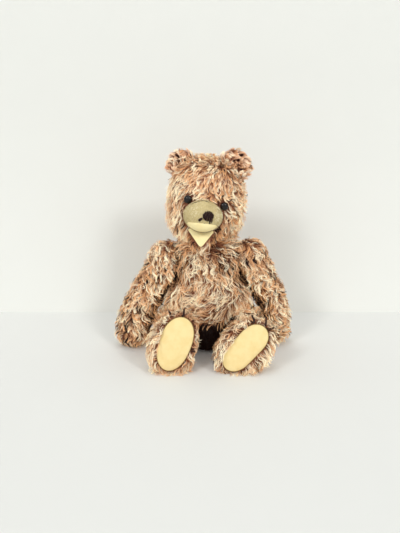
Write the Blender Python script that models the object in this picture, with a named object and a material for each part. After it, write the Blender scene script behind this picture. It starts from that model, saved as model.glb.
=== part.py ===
"""A sitting jointed bear: pile cloth covers over wood wool, with a disc joint at the neck, shoulders and hips.

Metres, +Z up, the face towards -Y. Left and right are the bear's own, so its left side is at +X. Every body has
an empty on its joint, and the bear empty carries them all, with the middle of the bear's footprint at the origin.
"""

import math
from dataclasses import dataclass

import bmesh
import bpy
from mathutils import Matrix, Vector
from mathutils.bvhtree import BVHTree

MM = 0.001
GAP = 0.3 * MM  # between pieces that touch
STUFFING_GAP = 0.7 * MM  # between a cover and what fills it
MOST_SHELL_FACTOR = 1.3  # how far a corner point may move, as a share of an inset, so that no face folds over

# Where the middle of the footprint lies from the bear's own mid-plane.
FOOTPRINT_MIDDLE = Vector((-6.7, -22.9, 0.0)) * MM

CLOTH = 3.4 * MM  # backing with its packed pile
MUZZLE_CLOTH = 1.6 * MM
FELT = 1.6 * MM
CARD = 1.2 * MM
THREAD_RADIUS = 0.7 * MM
LAID_GAP = 1.2 * GAP  # under a piece laid on a curved surface

# Joints: the contact plane's middle, between the two covers.
NECK = Vector((-3.5, 4.0, 150.0)) * MM
NECK_AXIS = Vector((0.10, -0.04, 1.0)).normalized()
SHOULDER_X = 38.2 * MM
LEFT_SHOULDER = Vector((SHOULDER_X, 7.0 * MM, 120.0 * MM))
RIGHT_SHOULDER = Vector((-SHOULDER_X, 4.0 * MM, 118.0 * MM))
HIP = Vector((26.7, 5.0, 27.0)) * MM
HALF_JOINT_GAP = 0.2 * MM
POCKET_CLEARANCE = 0.4 * MM

NECK_DISC_RADIUS = 12.0 * MM
SHOULDER_DISC_RADIUS = 9.0 * MM
HIP_DISC_RADIUS = 10.5 * MM
DISC_THICKNESS = 2.4 * MM
DISC_HOLE_RADIUS = 1.9 * MM
WASHER_RADIUS = 4.6 * MM
WASHER_THICKNESS = 0.8 * MM
COVER_HOLE_RADIUS = 2.4 * MM
PIN_WIRE_RADIUS = 0.6 * MM
PIN_LEG_OFFSET = 0.76 * MM
PIN_EYE_RADIUS = 2.4 * MM
PIN_CURL_RADIUS = 1.9 * MM
PIN_POCKET_RADIUS = 6.2 * MM
PIN_POCKET_DEPTH = 15.5 * MM

# Torso rings: height, middle in depth, half width, half depth.
TORSO_RINGS = (
    (0, 14, 19, 24),
    (4, 14, 25, 33),
    (12, 13, 29, 39.5),
    (26, 12, 30, 42.5),
    (40, 11, 30, 44),
    (51, 10.5, 30, 44.5),
    (57.5, 10, 37, 44.5),
    (65, 10, 45.5, 44.5),
    (74, 9.5, 49, 44.5),
    (84, 9, 47.5, 44),
    (95, 9, 42, 43),
    (107, 9, 43, 41),
    (119, 9, 43, 38),
    (131, 8.5, 39.5, 33),
    (142, 6.5, 30, 27),
    (153, 4.5, 21, 21),
)

PRESSED_HALF_HEIGHT = 26.0 * MM  # how far above and below a joint the torso is pressed flat
TORSO_ROUNDNESS = 0.86  # 1 is an oval, less is squarer

# Arm rings: out from the joint, back, up, half across, half deep, and then the paw's flat palm.
LEFT_ARM_RINGS = (
    (12.5, 0, 22, 8, 8),
    (13.5, 0, 17.5, 15, 15),
    (15, 0, 10, 20, 20),
    (16, 0, 0, 21.5, 21.5),
    (22, 0, -13, 21, 20.5),
    (31, 1, -28, 18, 19.5),
    (39, 2, -42, 17, 19),
    (46, 4, -58, 16.5, 18.5),
    (50.5, 5.5, -75, 17, 18.5),
    (53, 6.5, -92, 17, 19),
    (54, 7, -105, 15, 17.5),
    (54.5, 7, -113, 10, 12),
    (54.5, 7, -117, 4, 5),
)
RIGHT_ARM_RINGS = (
    (12.5, 0, 22, 8, 8),
    (13.5, 0, 17.5, 15, 15),
    (15, 0, 10, 20, 20),
    (16, 0, 0, 21.5, 21.5),
    (22.5, 0, -13, 21.5, 20.5),
    (32, -1, -27, 18.5, 19),
    (42, -2, -43, 19, 18.5),
    (50.5, -3, -58, 20, 18),
    (57.5, -4, -74, 20.5, 17.5),
    (62, -5, -90, 21, 17),
    (64.5, -6, -103, 19, 16),
    (65.5, -6.5, -111, 13, 11),
    (66, -7, -115, 5, 5),
)
PALM_PRESS = 13.0 * MM  # from the paw's middle line to the palm
PALM_HALF_WIDTH = 8.5 * MM
PALM_HALF_LENGTH = 14.0 * MM
PALM_PRESSED_HALF_HEIGHT = 23.0 * MM
PALM_RING = 9
PALM_TURNED_IN = 0.45  # how far a palm faces inwards for each part that it faces back

# Leg rings: out from the joint, back, up, half across, half high, and the lean in degrees to the bear's left.
LEFT_LEG_RINGS = (
    (13.5, 24, 1, 8, 9, 0),
    (14, 20, 1, 14.5, 16, 0),
    (15, 11.5, 1, 20, 21, 0),
    (15.8, 0, 1, 21.5, 23, 0),
    (16, -16, 1, 21, 23.2, 4),
    (16.2, -34, 1, 20, 23, 10),
    (16.5, -50, 0.5, 20, 23.5, 18),
    (16, -66, 0.5, 21.5, 26.5, 28),
    (15.7, -80, 1.5, 24.5, 33, 37),
    (16, -95, 3.9, 26, 38.5, 42),
    (16.2, -103, 4.7, 24.5, 37.5, 42),
)
RIGHT_LEG_RINGS = (
    (13.5, 24, 1, 8, 9, 0),
    (14, 20, 1, 14.5, 16, 0),
    (15, 11.5, 1, 20, 21, 0),
    (15.8, 0, 1, 21.5, 23, 0),
    (16, -16, 1, 21, 23.2, 0),
    (16.4, -34, 1.5, 19.5, 23, 3),
    (17, -50, 2, 19.5, 23.5, 8),
    (16, -66, 3.5, 21, 26, 13),
    (15.2, -80, 6.3, 24, 32.5, 18),
    (14.8, -95, 9.0, 26, 38, 20),
    (14.6, -103, 9.8, 24.5, 37, 20),
)
THIGH_END = -62.0 * MM  # the thigh keeps out of the torso's side back to here
SOLE_HALF_WIDTH = 20.8 * MM
SOLE_HALF_LENGTH = 34.3 * MM
SOLE_TAPER = 0.8 * MM  # how much wider each side is at the toes, and narrower at the heel
LEFT_SOLE_WAIST = 4.5 * MM
RIGHT_SOLE_WAIST = 1.6 * MM

# Head rings: up from the head's middle, middle in depth, half width, half depth.
HEAD_MIDDLE = Vector((-3.0, 0.0, 199.0)) * MM
HEAD_ROLL = math.radians(5.0)
HEAD_RINGS = (
    (-53, 4, 20, 20),
    (-45, 2, 29, 27.5),
    (-36, 0, 37, 35),
    (-22, -1, 44.5, 41),
    (-6, -1, 47, 43),
    (12, 0, 46.5, 43),
    (26, 1, 42.5, 39),
    (37, 2, 34, 31.5),
    (44, 3, 23, 21),
    (47.5, 3, 10, 9),
)
HEAD_ROUNDNESS = 0.92
# Jaw rings, from the throat forwards: right, back and up from the head's middle, half width, half height.
JAW_RINGS = (
    (-3, -22, -36, 16, 13),
    (-3.5, -34, -38, 17.5, 13),
    (-4, -46, -41, 17.5, 11.5),
    (-3, -54, -45, 14, 9.5),
    (-2, -60, -48.5, 8, 6),
)
JAW_MOUTH_POINT = Vector((-4.5, -50.0, -41.0)) * MM
JAW_MOUTH_NORMAL = Vector((0.0, -0.80, 0.60)).normalized()
JAW_CORNERS = ((-17.5, 10.0), (1.5, -16.0), (17.5, 9.5))  # across and up on the mouth's plane
JAW_CORNER_ROUNDING = 4.0 * MM

# Muzzle rings: back and up from the head's middle, half width, half height.
MUZZLE_X = -3.3 * MM
MUZZLE_RINGS = (
    (-28, -16.2, 24.2, 18.4),
    (-42, -16.4, 24.5, 18.6),
    (-51, -16.8, 23.2, 17.9),
    (-58, -17.2, 20.2, 16.0),
    (-63, -17.4, 15.7, 12.8),
    (-66, -17.5, 10.0, 8.4),
    (-67, -17.6, 4.0, 3.4),
)
MUZZLE_STUFFING_BACK = 8 * MM  # how far the muzzle's filling runs back into the head's

# Eyes: right and up from the head's middle.
RIGHT_EYE = (-22.7, 1.9)
LEFT_EYE = (21.0, -2.8)
EYE_RADIUS = 4.7 * MM
EYE_HEIGHT = 3.6 * MM
EYE_LIFT = 1.4 * MM
EYE_FACING = 1.6  # how much more an eye faces forwards than the head does under it
EYE_SHANK_RADIUS = 0.6 * MM
EYE_SHANK_LENGTH = 8.0 * MM
EYE_HOLE_RADIUS = 1.2 * MM

# Ears: right, back and up from the head's middle, half width, and the turn to the side in degrees.
RIGHT_EAR = (-37.0, 4.0, 39.5, 17.0, 28.0, -30.0)
LEFT_EAR = (30.5, 4.0, 43.0, 19.0, -8.0, 38.0)
EAR_TALLNESS = 1.06
# Ear section: distance from its middle as a share of the half width, and height in mm.
EAR_SECTION = (
    (0, 0.5),
    (0.5, -0.3),
    (0.82, -2.4),
    (1.0, -5.2),
    (1.04, -7.4),
    (0.98, -8.8),
    (0.72, -7.6),
    (0.0, -5.5),
)

# Stitched nose, worn mouth stitch and felt lip, right and up from the head's middle, with half sizes.
NOSE = (2.4, -12.6, 6.2, 6.0)
NOSE_EDGE = 0.5 * MM
NOSE_CROWN = 1.7 * MM
MOUTH_STITCH = ((-6.6, -15.5), (-8.4, -17.2), (-9.4, -19.2))
LIP = (-4.2, -28.3, 15.5, 6.6)
LIP_THICKNESS = 1.0 * MM
LIP_TILT = math.radians(32)  # how far the lip's line of sight looks up at the muzzle from below
LIP_START = Vector((0, -64, 0)) * MM
LIP_BACKED_OFF = 15 * MM
LIP_REACH = 32 * MM  # how deep the lip is cut from the skin of the muzzle

# Claws: guide points from the bear's own frame, laid on the covers.
LEFT_FOOT_CLAWS = (
    ((54.0, -96.5, 70.0), (52.0, -86.0, 70.0)),
    ((68.5, -96.0, 61.0), (67.0, -86.0, 65.0)),
)
RIGHT_FOOT_CLAWS = (
    ((-30.0, -96.5, 76.0), (-31.0, -86.0, 74.0)),
    ((-47.0, -95.0, 74.0), (-48.5, -85.5, 72.0)),
)
LEFT_PAW_CLAWS = (((98.0, -4.0, 9.0), (88.0, -4.0, 4.5)),)
RIGHT_PAW_CLAWS = (
    ((-107.0, -19.0, 16.0), (-112.0, -17.0, 8.0)),
    ((-120.0, -14.0, 24.0), (-121.0, -10.0, 19.0)),
)
CLAW_POINTS = 5
CLAW_LIFT = THREAD_RADIUS + 2 * GAP

RING_SIDES = 14
PALM_SIDES = 16
SOLE_SIDES = 22
MUZZLE_SIDES = 18
JAW_SIDES = 14
TORSO_SIDES = 20
DISC_SIDES = 14
WASHER_SIDES = 10
HOLE_SIDES = 10
EAR_SIDES = 16
EYE_SIDES = 12
EYE_ROWS = 3
EYE_HOLE_SIDES = 8
NOSE_ROWS = 3
NOSE_SIDES = 16
LIP_SIDES = 20
WIRE_SIDES = 5

SMALLEST_EDGE = 0.002 * MM
SMOOTH_ANGLE = math.radians(40)


@dataclass(frozen=True)
class Paint:
    """A material's colour, roughness and metallic value."""

    colour: tuple
    roughness: float
    metallic: float = 0.0


PAINTS = {
    "pile_cloth": Paint((0.62, 0.43, 0.31), 0.95),
    "muzzle_cloth": Paint((0.64, 0.56, 0.42), 0.9),
    "cream_felt": Paint((0.97, 0.85, 0.52), 0.95),
    "wood_wool": Paint((0.76, 0.62, 0.40), 0.9),
    "black_thread": Paint((0.05, 0.03, 0.03), 0.6),
    "dark_glass": Paint((0.02, 0.015, 0.012), 0.05),
    "hardboard": Paint((0.36, 0.24, 0.15), 0.8),
    "card": Paint((0.55, 0.48, 0.38), 0.9),
    "steel": Paint((0.55, 0.55, 0.56), 0.35, 1.0),
}


def clear_scene():
    """Removes whatever the scene holds."""
    for thing in list(bpy.data.objects):
        bpy.data.objects.remove(thing, do_unlink=True)


def material(name):
    """Returns the named material, made on first use."""
    made = bpy.data.materials.get(name)
    if made is None:
        made = bpy.data.materials.new(name)
        made.use_nodes = True
        shader = made.node_tree.nodes["Principled BSDF"]
        shader.inputs["Base Color"].default_value = (*PAINTS[name].colour, 1.0)
        shader.inputs["Roughness"].default_value = PAINTS[name].roughness
        shader.inputs["Metallic"].default_value = PAINTS[name].metallic
    return made


def add_empty(name, location, parent=None):
    """Adds an empty at a place in the bear's frame."""
    empty = bpy.data.objects.new(name, None)
    empty.location = location
    if parent is not None:
        empty.location = location - parent.location if parent.parent else location
        empty.parent = parent
    bpy.context.scene.collection.objects.link(empty)
    return empty


# ---- closed meshes from rings --------------------------------------------------------------------------------


def closed_rings(rings, loop=False):
    """A closed mesh from rings of points, capped at both ends, or joined into a loop. One point is a pole."""
    made = bmesh.new()
    rows = [[made.verts.new(point) for point in ring] for ring in rings]
    pairs = list(zip(rows, rows[1:]))
    if loop:
        pairs.append((rows[-1], rows[0]))
    for low, high in pairs:
        count = max(len(low), len(high))
        for i in range(count):
            below = [low[i % len(low)], low[(i + 1) % len(low)]]
            above = [high[(i + 1) % len(high)], high[i % len(high)]]
            made.faces.new(list(dict.fromkeys(below + above)))
    if not loop:
        for row in (rows[0], rows[-1]):
            if len(row) > 1:
                made.faces.new(row)
    bmesh.ops.recalc_face_normals(made, faces=made.faces)
    return made


def turned(profile, sides, loop=False):
    """A solid turned about Z from (radius, height) points. A radius of 0 is a pole."""
    rings = []
    for radius, height in profile:
        count = sides if radius > 0 else 1
        angles = [2 * math.pi * i / sides for i in range(count)]
        rings.append([Vector((radius * math.cos(a), radius * math.sin(a), height)) for a in angles])
    return closed_rings(rings, loop)


def upright_body(rings, sides, middle, roundness):
    """A body of level rings of (height, middle in depth, half width, half depth), in mm from a middle point."""
    made = []
    for height, back, half_width, half_depth in rings:
        ring = []
        for i in range(sides):
            angle = 2 * math.pi * i / sides
            across = math.copysign(abs(math.cos(angle)) ** roundness, math.cos(angle))
            deep = math.copysign(abs(math.sin(angle)) ** roundness, math.sin(angle))
            ring.append(middle + Vector((half_width * across, back + half_depth * deep, height)) * MM)
        made.append(ring)
    return closed_rings(made)


@dataclass
class Section:
    """One section of a limb: its middle, its two directions and its half sizes."""

    middle: Vector
    across: Vector
    high: Vector
    half_across: float
    half_high: float

    def ring(self, sides):
        """The section's outline as points."""
        angles = [2 * math.pi * i / sides for i in range(sides)]
        return [
            self.middle
            + self.across * self.half_across * math.cos(a)
            + self.high * self.half_high * math.sin(a)
            for a in angles
        ]


def sections_along(middles, halves, leans, across_hint):
    """Sections square to the line through their middles, each turned by its lean about that line."""
    made = []
    last = len(middles) - 1
    for i, (middle, (half_across, half_high), lean) in enumerate(zip(middles, halves, leans)):
        along = (middles[min(i + 1, last)] - middles[max(i - 1, 0)]).normalized()
        across = (across_hint - along * across_hint.dot(along)).normalized()
        across = Matrix.Rotation(lean, 3, along) @ across
        made.append(Section(middle, across, along.cross(across), half_across, half_high))
    return made


def tube(points, radius, sides):
    """A round wire through points, with flat ends."""
    hint = Vector((0.31, 0.87, 0.39))
    halves = [(radius, radius)] * len(points)
    return closed_rings([s.ring(sides) for s in sections_along(points, halves, [0.0] * len(points), hint)])


def prism(outline, frame, low, high):
    """An outline of (x, y) points, extruded between two heights of a frame."""
    rings = [[frame @ Vector((x, y, height)) for x, y in outline] for height in (low, high)]
    return closed_rings(rings)


def pad_outline(half_width, half_length, waist, taper, sides):
    """A pad's outline: drawn in at its waist, wider by a taper at its top and narrower by it at its bottom."""
    points = []
    for i in range(sides):
        angle = 2 * math.pi * i / sides
        up = math.sin(angle)
        width = half_width + taper * up - waist * (1 + math.cos(math.pi * up)) / 2
        points.append((width * math.cos(angle), half_length * up))
    return points


# ---- changes to a mesh ---------------------------------------------------------------------------------------


def press_flat(mesh, point, normal, wanted=None):
    """Lays each wanted point that is past a plane onto it. Without a test, every point is wanted."""
    for vertex in mesh.verts:
        past = (vertex.co - point).dot(normal)
        if past > 0 and (wanted is None or wanted(vertex.co)):
            vertex.co -= normal * past


def within_height(origin, half_height):
    """A test for points no further than half a height above or below a place."""
    return lambda place: abs(place.z - origin.z) < half_height


def rest_on_floor(mesh, floor=0.0):
    """Lifts every point below the floor onto it."""
    for vertex in mesh.verts:
        vertex.co.z = max(vertex.co.z, floor)


def inset(mesh, distance):
    """A copy in triangles whose surface lies a distance inside, or outside where the distance is negative."""
    made = mesh.copy()
    bmesh.ops.triangulate(made, faces=made.faces)
    made.normal_update()
    steps = [v.normal * min(v.calc_shell_factor(), MOST_SHELL_FACTOR) * distance for v in made.verts]
    for vertex, step in zip(made.verts, steps):
        vertex.co -= step
    return made


def hollow(outer, inner):
    """One mesh of an outer surface and an inner one that faces the other way."""
    made = outer.copy()
    bmesh.ops.triangulate(made, faces=made.faces)
    turned_in = inner.copy()
    bmesh.ops.reverse_faces(turned_in, faces=turned_in.faces)
    scratch = bpy.data.meshes.new("scratch")
    turned_in.to_mesh(scratch)
    made.from_mesh(scratch)
    bpy.data.meshes.remove(scratch)
    return made


def scratch_object(mesh):
    """A hidden object of a mesh, for a Boolean."""
    data = bpy.data.meshes.new("scratch")
    mesh.to_mesh(data)
    made = bpy.data.objects.new("scratch", data)
    made.hide_render = True
    made.display_type = "WIRE"
    bpy.context.scene.collection.objects.link(made)
    return made


def combine(mesh, other, operation):
    """Returns the Boolean of two closed meshes."""
    target, tool = scratch_object(mesh), scratch_object(other)
    boolean = target.modifiers.new("boolean", "BOOLEAN")
    boolean.operation = operation
    boolean.solver = "EXACT"
    boolean.object = tool
    graph = bpy.context.evaluated_depsgraph_get()
    result = bpy.data.meshes.new_from_object(target.evaluated_get(graph), depsgraph=graph)
    made = bmesh.new()
    made.from_mesh(result)
    for thing in (target, tool):
        data = thing.data
        bpy.data.objects.remove(thing, do_unlink=True)
        bpy.data.meshes.remove(data)
    bpy.data.meshes.remove(result)
    bmesh.ops.remove_doubles(made, verts=made.verts, dist=SMALLEST_EDGE)
    return made


def cut(mesh, *tools):
    """Returns the mesh less each tool."""
    for tool in tools:
        mesh = combine(mesh, tool, "DIFFERENCE")
    return mesh


def join(mesh, other):
    """Returns the union of two meshes."""
    return combine(mesh, other, "UNION")


def moved(mesh, matrix):
    """Returns a mesh after moving it."""
    mesh.transform(matrix)
    return mesh


def add_piece(name, mesh, paint, empty):
    """Adds a mesh, given in the bear's frame, as an object under its body's empty."""
    pivot = empty.location
    mesh.transform(Matrix.Translation(-pivot))
    data = bpy.data.meshes.new(name)
    mesh.to_mesh(data)
    data.materials.append(material(paint))
    data.shade_smooth()
    data.set_sharp_from_angle(angle=SMOOTH_ANGLE)
    made = bpy.data.objects.new(name, data)
    made.parent = empty
    bpy.context.scene.collection.objects.link(made)
    return made


def surface_tree(mesh):
    """A search tree of a mesh's surface."""
    return BVHTree.FromBMesh(mesh)


def laid_on(tree, point, lift):
    """The point of a surface nearest to a place, lifted off along its normal."""
    place, normal, _, _ = tree.find_nearest(point)
    return place + normal * lift


# ---- the joints ----------------------------------------------------------------------------------------------


def axis_frame(origin, axis):
    """A frame at a point with its Z along an axis."""
    return Matrix.Translation(origin) @ axis.to_track_quat("Z", "Y").to_matrix().to_4x4()


def ring_plate(radius, hole, low, high, sides):
    """A flat ring between two heights."""
    return turned(((hole, low), (radius, low), (radius, high), (hole, high)), sides, loop=True)


def joint_pocket(disc_radius, low):
    """The room that a disc, its washer and its pin's end take, from a height over the contact plane."""
    disc_room = disc_radius + POCKET_CLEARANCE
    disc_top = HALF_JOINT_GAP + CLOTH + 2 * GAP + DISC_THICKNESS + WASHER_THICKNESS + 3 * POCKET_CLEARANCE
    profile = (
        (0, low),
        (disc_room, low),
        (disc_room, disc_top),
        (PIN_POCKET_RADIUS, disc_top),
        (PIN_POCKET_RADIUS, PIN_POCKET_DEPTH),
        (0, PIN_POCKET_DEPTH),
    )
    return turned(profile, DISC_SIDES)


def arc(middle_x, middle_z, radius, start, stop, count):
    """Points of an arc in the XZ plane, angles in degrees."""
    angles = [math.radians(start + (stop - start) * i / (count - 1)) for i in range(count)]
    return [Vector((middle_x + radius * math.cos(a), 0, middle_z + radius * math.sin(a))) for a in angles]


def split_pin():
    """A split pin on Z: its eye above the limb's washer, its two legs curled below the torso's."""
    stack = HALF_JOINT_GAP + CLOTH + 2 * GAP + DISC_THICKNESS + WASHER_THICKNESS + PIN_WIRE_RADIUS
    foot = math.degrees(math.asin(PIN_LEG_OFFSET / PIN_EYE_RADIUS))
    eye_height = stack + 2 * GAP + PIN_EYE_RADIUS * math.cos(math.radians(foot)) + PIN_WIRE_RADIUS
    curl_height = -stack - 3 * GAP - PIN_WIRE_RADIUS
    curl_x = PIN_LEG_OFFSET + PIN_CURL_RADIUS
    right_curl = arc(curl_x, curl_height, PIN_CURL_RADIUS, 350, 180, 5)
    left_curl = arc(-curl_x, curl_height, PIN_CURL_RADIUS, 0, -170, 5)
    eye = arc(0, eye_height, PIN_EYE_RADIUS, -90 + foot, 270 - foot, 8)
    return tube(right_curl + eye + left_curl, PIN_WIRE_RADIUS, WIRE_SIDES)


def add_joint(name, origin, axis, disc_radius, torso_empty, limb_empty):
    """Adds a joint's two discs, two washers and split pin. The pin, and what is inside the limb, ride on it."""
    frame = axis_frame(origin, axis)
    disc_low = HALF_JOINT_GAP + CLOTH + GAP
    disc_high = disc_low + DISC_THICKNESS
    washer_low = disc_high + GAP
    washer_high = washer_low + WASHER_THICKNESS
    for side, sign, empty in (("limb", 1, limb_empty), ("torso", -1, torso_empty)):
        low, high = sign * disc_low, sign * disc_high
        disc = ring_plate(disc_radius, DISC_HOLE_RADIUS, low, high, DISC_SIDES)
        low, high = sign * washer_low, sign * washer_high
        washer = ring_plate(WASHER_RADIUS, DISC_HOLE_RADIUS, low, high, WASHER_SIDES)
        for mesh in (disc, washer):
            bmesh.ops.recalc_face_normals(mesh, faces=mesh.faces)
            mesh.transform(frame)
        add_piece(f"{name}_{side}_disc", disc, "hardboard", empty)
        add_piece(f"{name}_{side}_washer", washer, "steel", empty)
    add_piece(f"{name}_pin", moved(split_pin(), frame), "steel", limb_empty)


def pin_hole(origin, axis):
    """A cutter for the hole that a pin takes through the covers at a joint."""
    depth = HALF_JOINT_GAP + CLOTH + 2 * MM
    profile = ((0, -depth), (COVER_HOLE_RADIUS, -depth), (COVER_HOLE_RADIUS, depth), (0, depth))
    made = turned(profile, HOLE_SIDES)
    return moved(made, axis_frame(origin, axis))


def pocket_at(origin, axis, disc_radius):
    """A cutter for a stuffing's room at a joint, on the side that the axis points to."""
    return moved(joint_pocket(disc_radius, 0), axis_frame(origin, axis))


def disc_seat(origin, axis, disc_radius):
    """A cutter that keeps the inside of a cover flat under a disc."""
    return moved(joint_pocket(disc_radius, HALF_JOINT_GAP + CLOTH + GAP / 2), axis_frame(origin, axis))


# ---- torso ---------------------------------------------------------------------------------------------------

JOINTS = (
    ("neck", NECK, NECK_AXIS, NECK_DISC_RADIUS),
    ("left_shoulder", LEFT_SHOULDER, Vector((1, 0, 0)), SHOULDER_DISC_RADIUS),
    ("right_shoulder", RIGHT_SHOULDER, Vector((-1, 0, 0)), SHOULDER_DISC_RADIUS),
    ("left_hip", HIP, Vector((1, 0, 0)), HIP_DISC_RADIUS),
    ("right_hip", Vector((-HIP.x, HIP.y, HIP.z)), Vector((-1, 0, 0)), HIP_DISC_RADIUS),
)


def build_torso(empty):
    """The torso's cover, which sits on a flat seat, and its stuffing."""
    outer = upright_body(TORSO_RINGS, TORSO_SIDES, Vector((0, 0, 0)), TORSO_ROUNDNESS)
    for _, origin, axis, _ in JOINTS:
        press_flat(outer, origin - axis * HALF_JOINT_GAP, axis, within_height(origin, PRESSED_HALF_HEIGHT))
    holes = [pin_hole(origin, axis) for _, origin, axis, _ in JOINTS]
    seats = [disc_seat(origin, -axis, radius) for _, origin, axis, radius in JOINTS]
    pockets = [pocket_at(origin, -axis, radius) for _, origin, axis, radius in JOINTS]
    cover = cut(hollow(outer, inset(outer, CLOTH)), *holes, *seats)
    stuffing = cut(inset(outer, CLOTH + STUFFING_GAP), *pockets)
    add_piece("torso_cover", cover, "pile_cloth", empty)
    add_piece("torso_stuffing", stuffing, "wood_wool", empty)


# ---- limbs ---------------------------------------------------------------------------------------------------


def limb_sections(rings, joint, side):
    """Sections of a limb from its table of rings, mirrored to its side."""
    middles = [joint + Vector((side * ring[0], ring[1], ring[2])) * MM for ring in rings]
    halves = [(ring[3] * MM, ring[4] * MM) for ring in rings]
    leans = [-math.radians(ring[5]) if len(ring) > 5 else 0.0 for ring in rings]
    return sections_along(middles, halves, leans, Vector((1, 0, 0)))


def add_claws(name, claws, tree, empty):
    """Lays each claw, a long stitch of thread, on a cover."""
    for number, (start, stop) in enumerate(claws, 1):
        start, stop = Vector(start) * MM, Vector(stop) * MM
        places = [start.lerp(stop, i / (CLAW_POINTS - 1)) for i in range(CLAW_POINTS)]
        path = [laid_on(tree, place, CLAW_LIFT) for place in places]
        add_piece(f"{name}_claw_{number}", tube(path, THREAD_RADIUS, WIRE_SIDES), "black_thread", empty)


def build_arm(name, rings, joint, side, claws, empty):
    """An arm's cover with its felt palm, stuffing and claws."""
    axis = Vector((side, 0, 0))
    sections = limb_sections(rings, joint, side)
    outer = closed_rings([section.ring(RING_SIDES) for section in sections])
    press_flat(outer, joint + axis * HALF_JOINT_GAP, -axis)
    rest_on_floor(outer, GAP)

    paw = sections[PALM_RING]
    down = (sections[PALM_RING + 1].middle - sections[PALM_RING - 1].middle).normalized()
    out = Vector((-PALM_TURNED_IN * side, 1.0, 0.0))
    out = (out - down * out.dot(down)).normalized()
    palm = Matrix.Translation(paw.middle + out * PALM_PRESS)
    palm = palm @ Matrix((down.cross(out), down, out)).transposed().to_4x4()
    press_flat(outer, paw.middle + out * PALM_PRESS, out, within_height(paw.middle, PALM_PRESSED_HALF_HEIGHT))

    pad = pad_outline(PALM_HALF_WIDTH, PALM_HALF_LENGTH, 0, 0, PALM_SIDES)
    opening = pad_outline(PALM_HALF_WIDTH + GAP, PALM_HALF_LENGTH + GAP, 0, 0, PALM_SIDES)
    opening_cut = prism(opening, palm, -CLOTH - MM, MM)
    seat = disc_seat(joint, axis, SHOULDER_DISC_RADIUS)
    cover = cut(hollow(outer, inset(outer, CLOTH)), pin_hole(joint, axis), seat, opening_cut)
    stuffing = cut(inset(outer, CLOTH + STUFFING_GAP), pocket_at(joint, axis, SHOULDER_DISC_RADIUS))
    add_claws(name, claws, surface_tree(outer), empty)
    add_piece(f"{name}_cover", cover, "pile_cloth", empty)
    add_piece(f"{name}_stuffing", stuffing, "wood_wool", empty)
    add_piece(f"{name}_palm_felt", prism(pad, palm, -FELT, 0), "cream_felt", empty)


def build_leg(name, rings, joint, side, waist, claws, empty):
    """A leg's cover, which a felt sole over a card closes, its stuffing and claws."""
    axis = Vector((side, 0, 0))
    sections = limb_sections(rings, joint, side)
    outer = closed_rings([section.ring(RING_SIDES) for section in sections])

    def beside_torso(place):
        return place.y > joint.y + THIGH_END

    press_flat(outer, joint + axis * HALF_JOINT_GAP, -axis, beside_torso)
    rest_on_floor(outer)

    foot = sections[-1]
    out = foot.across.cross(foot.high).normalized()
    sole = Matrix.Translation(foot.middle) @ Matrix((foot.across, foot.high, out)).transposed().to_4x4()
    outline = pad_outline(SOLE_HALF_WIDTH, SOLE_HALF_LENGTH, waist, SOLE_TAPER, SOLE_SIDES)
    opening = pad_outline(SOLE_HALF_WIDTH + GAP, SOLE_HALF_LENGTH + GAP, waist, SOLE_TAPER, SOLE_SIDES)
    opening_cut = prism(opening, sole, -CLOTH - MM, MM)
    seat = disc_seat(joint, axis, HIP_DISC_RADIUS)
    cover = cut(hollow(outer, inset(outer, CLOTH)), pin_hole(joint, axis), seat, opening_cut)
    stuffing = cut(inset(outer, CLOTH + STUFFING_GAP), pocket_at(joint, axis, HIP_DISC_RADIUS))
    add_claws(name, claws, surface_tree(outer), empty)
    add_piece(f"{name}_cover", cover, "pile_cloth", empty)
    add_piece(f"{name}_stuffing", stuffing, "wood_wool", empty)
    add_piece(f"{name}_sole_felt", prism(outline, sole, -FELT, 0), "cream_felt", empty)
    add_piece(f"{name}_sole_card", prism(outline, sole, -FELT - GAP - CARD, -FELT - GAP), "card", empty)


# ---- head ----------------------------------------------------------------------------------------------------


def muzzle_body(back=0.0):
    """The muzzle's dome, in the face's frame, with its back end moved back by a distance."""
    right, up = Vector((1, 0, 0)), Vector((0, 0, 1))
    sections = [
        Section(Vector((MUZZLE_X, y * MM, z * MM)), right, up, half_width * MM, half_height * MM)
        for y, z, half_width, half_height in MUZZLE_RINGS
    ]
    sections[0].middle.y += back
    return closed_rings([section.ring(MUZZLE_SIDES) for section in sections])


def jaw_body():
    """The lower jaw: a blunt wedge whose upper side is pressed flat for the felt mouth."""
    sections = [
        Section(Vector((x, y, z)) * MM, Vector((1, 0, 0)), Vector((0, 0, 1)), half_width * MM, half_height * MM)
        for x, y, z, half_width, half_height in JAW_RINGS
    ]
    made = closed_rings([section.ring(JAW_SIDES) for section in sections])
    press_flat(made, JAW_MOUTH_POINT, JAW_MOUTH_NORMAL)
    return made


def polar_grid(half_width, half_height, rows, sides):
    """Rings of (x, y, share of the way out) over an oval, from its middle to its edge."""
    rings = [[(0.0, 0.0, 0.0)]]
    for row in range(1, rows + 1):
        share = row / rows
        angles = [2 * math.pi * i / sides for i in range(sides)]
        wide, tall = half_width * share, half_height * share
        rings.append([(wide * math.cos(a), tall * math.sin(a), share) for a in angles])
    return rings


def patch(grid, tree, origin, right, up, inward, thickness, crown):
    """A thin piece laid on a surface: a grid of points cast inward onto it, then raised by its thickness."""
    low, high = [], []
    for ring in grid:
        low_ring, high_ring = [], []
        for x, y, share in ring:
            place, normal, _, _ = tree.ray_cast(origin + right * x + up * y, inward)
            low_ring.append(place + normal * LAID_GAP)
            high_ring.append(place + normal * (LAID_GAP + thickness + crown * (1 - share**2)))
        low.append(low_ring)
        high.append(high_ring)
    return closed_rings(low + high[::-1])


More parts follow.
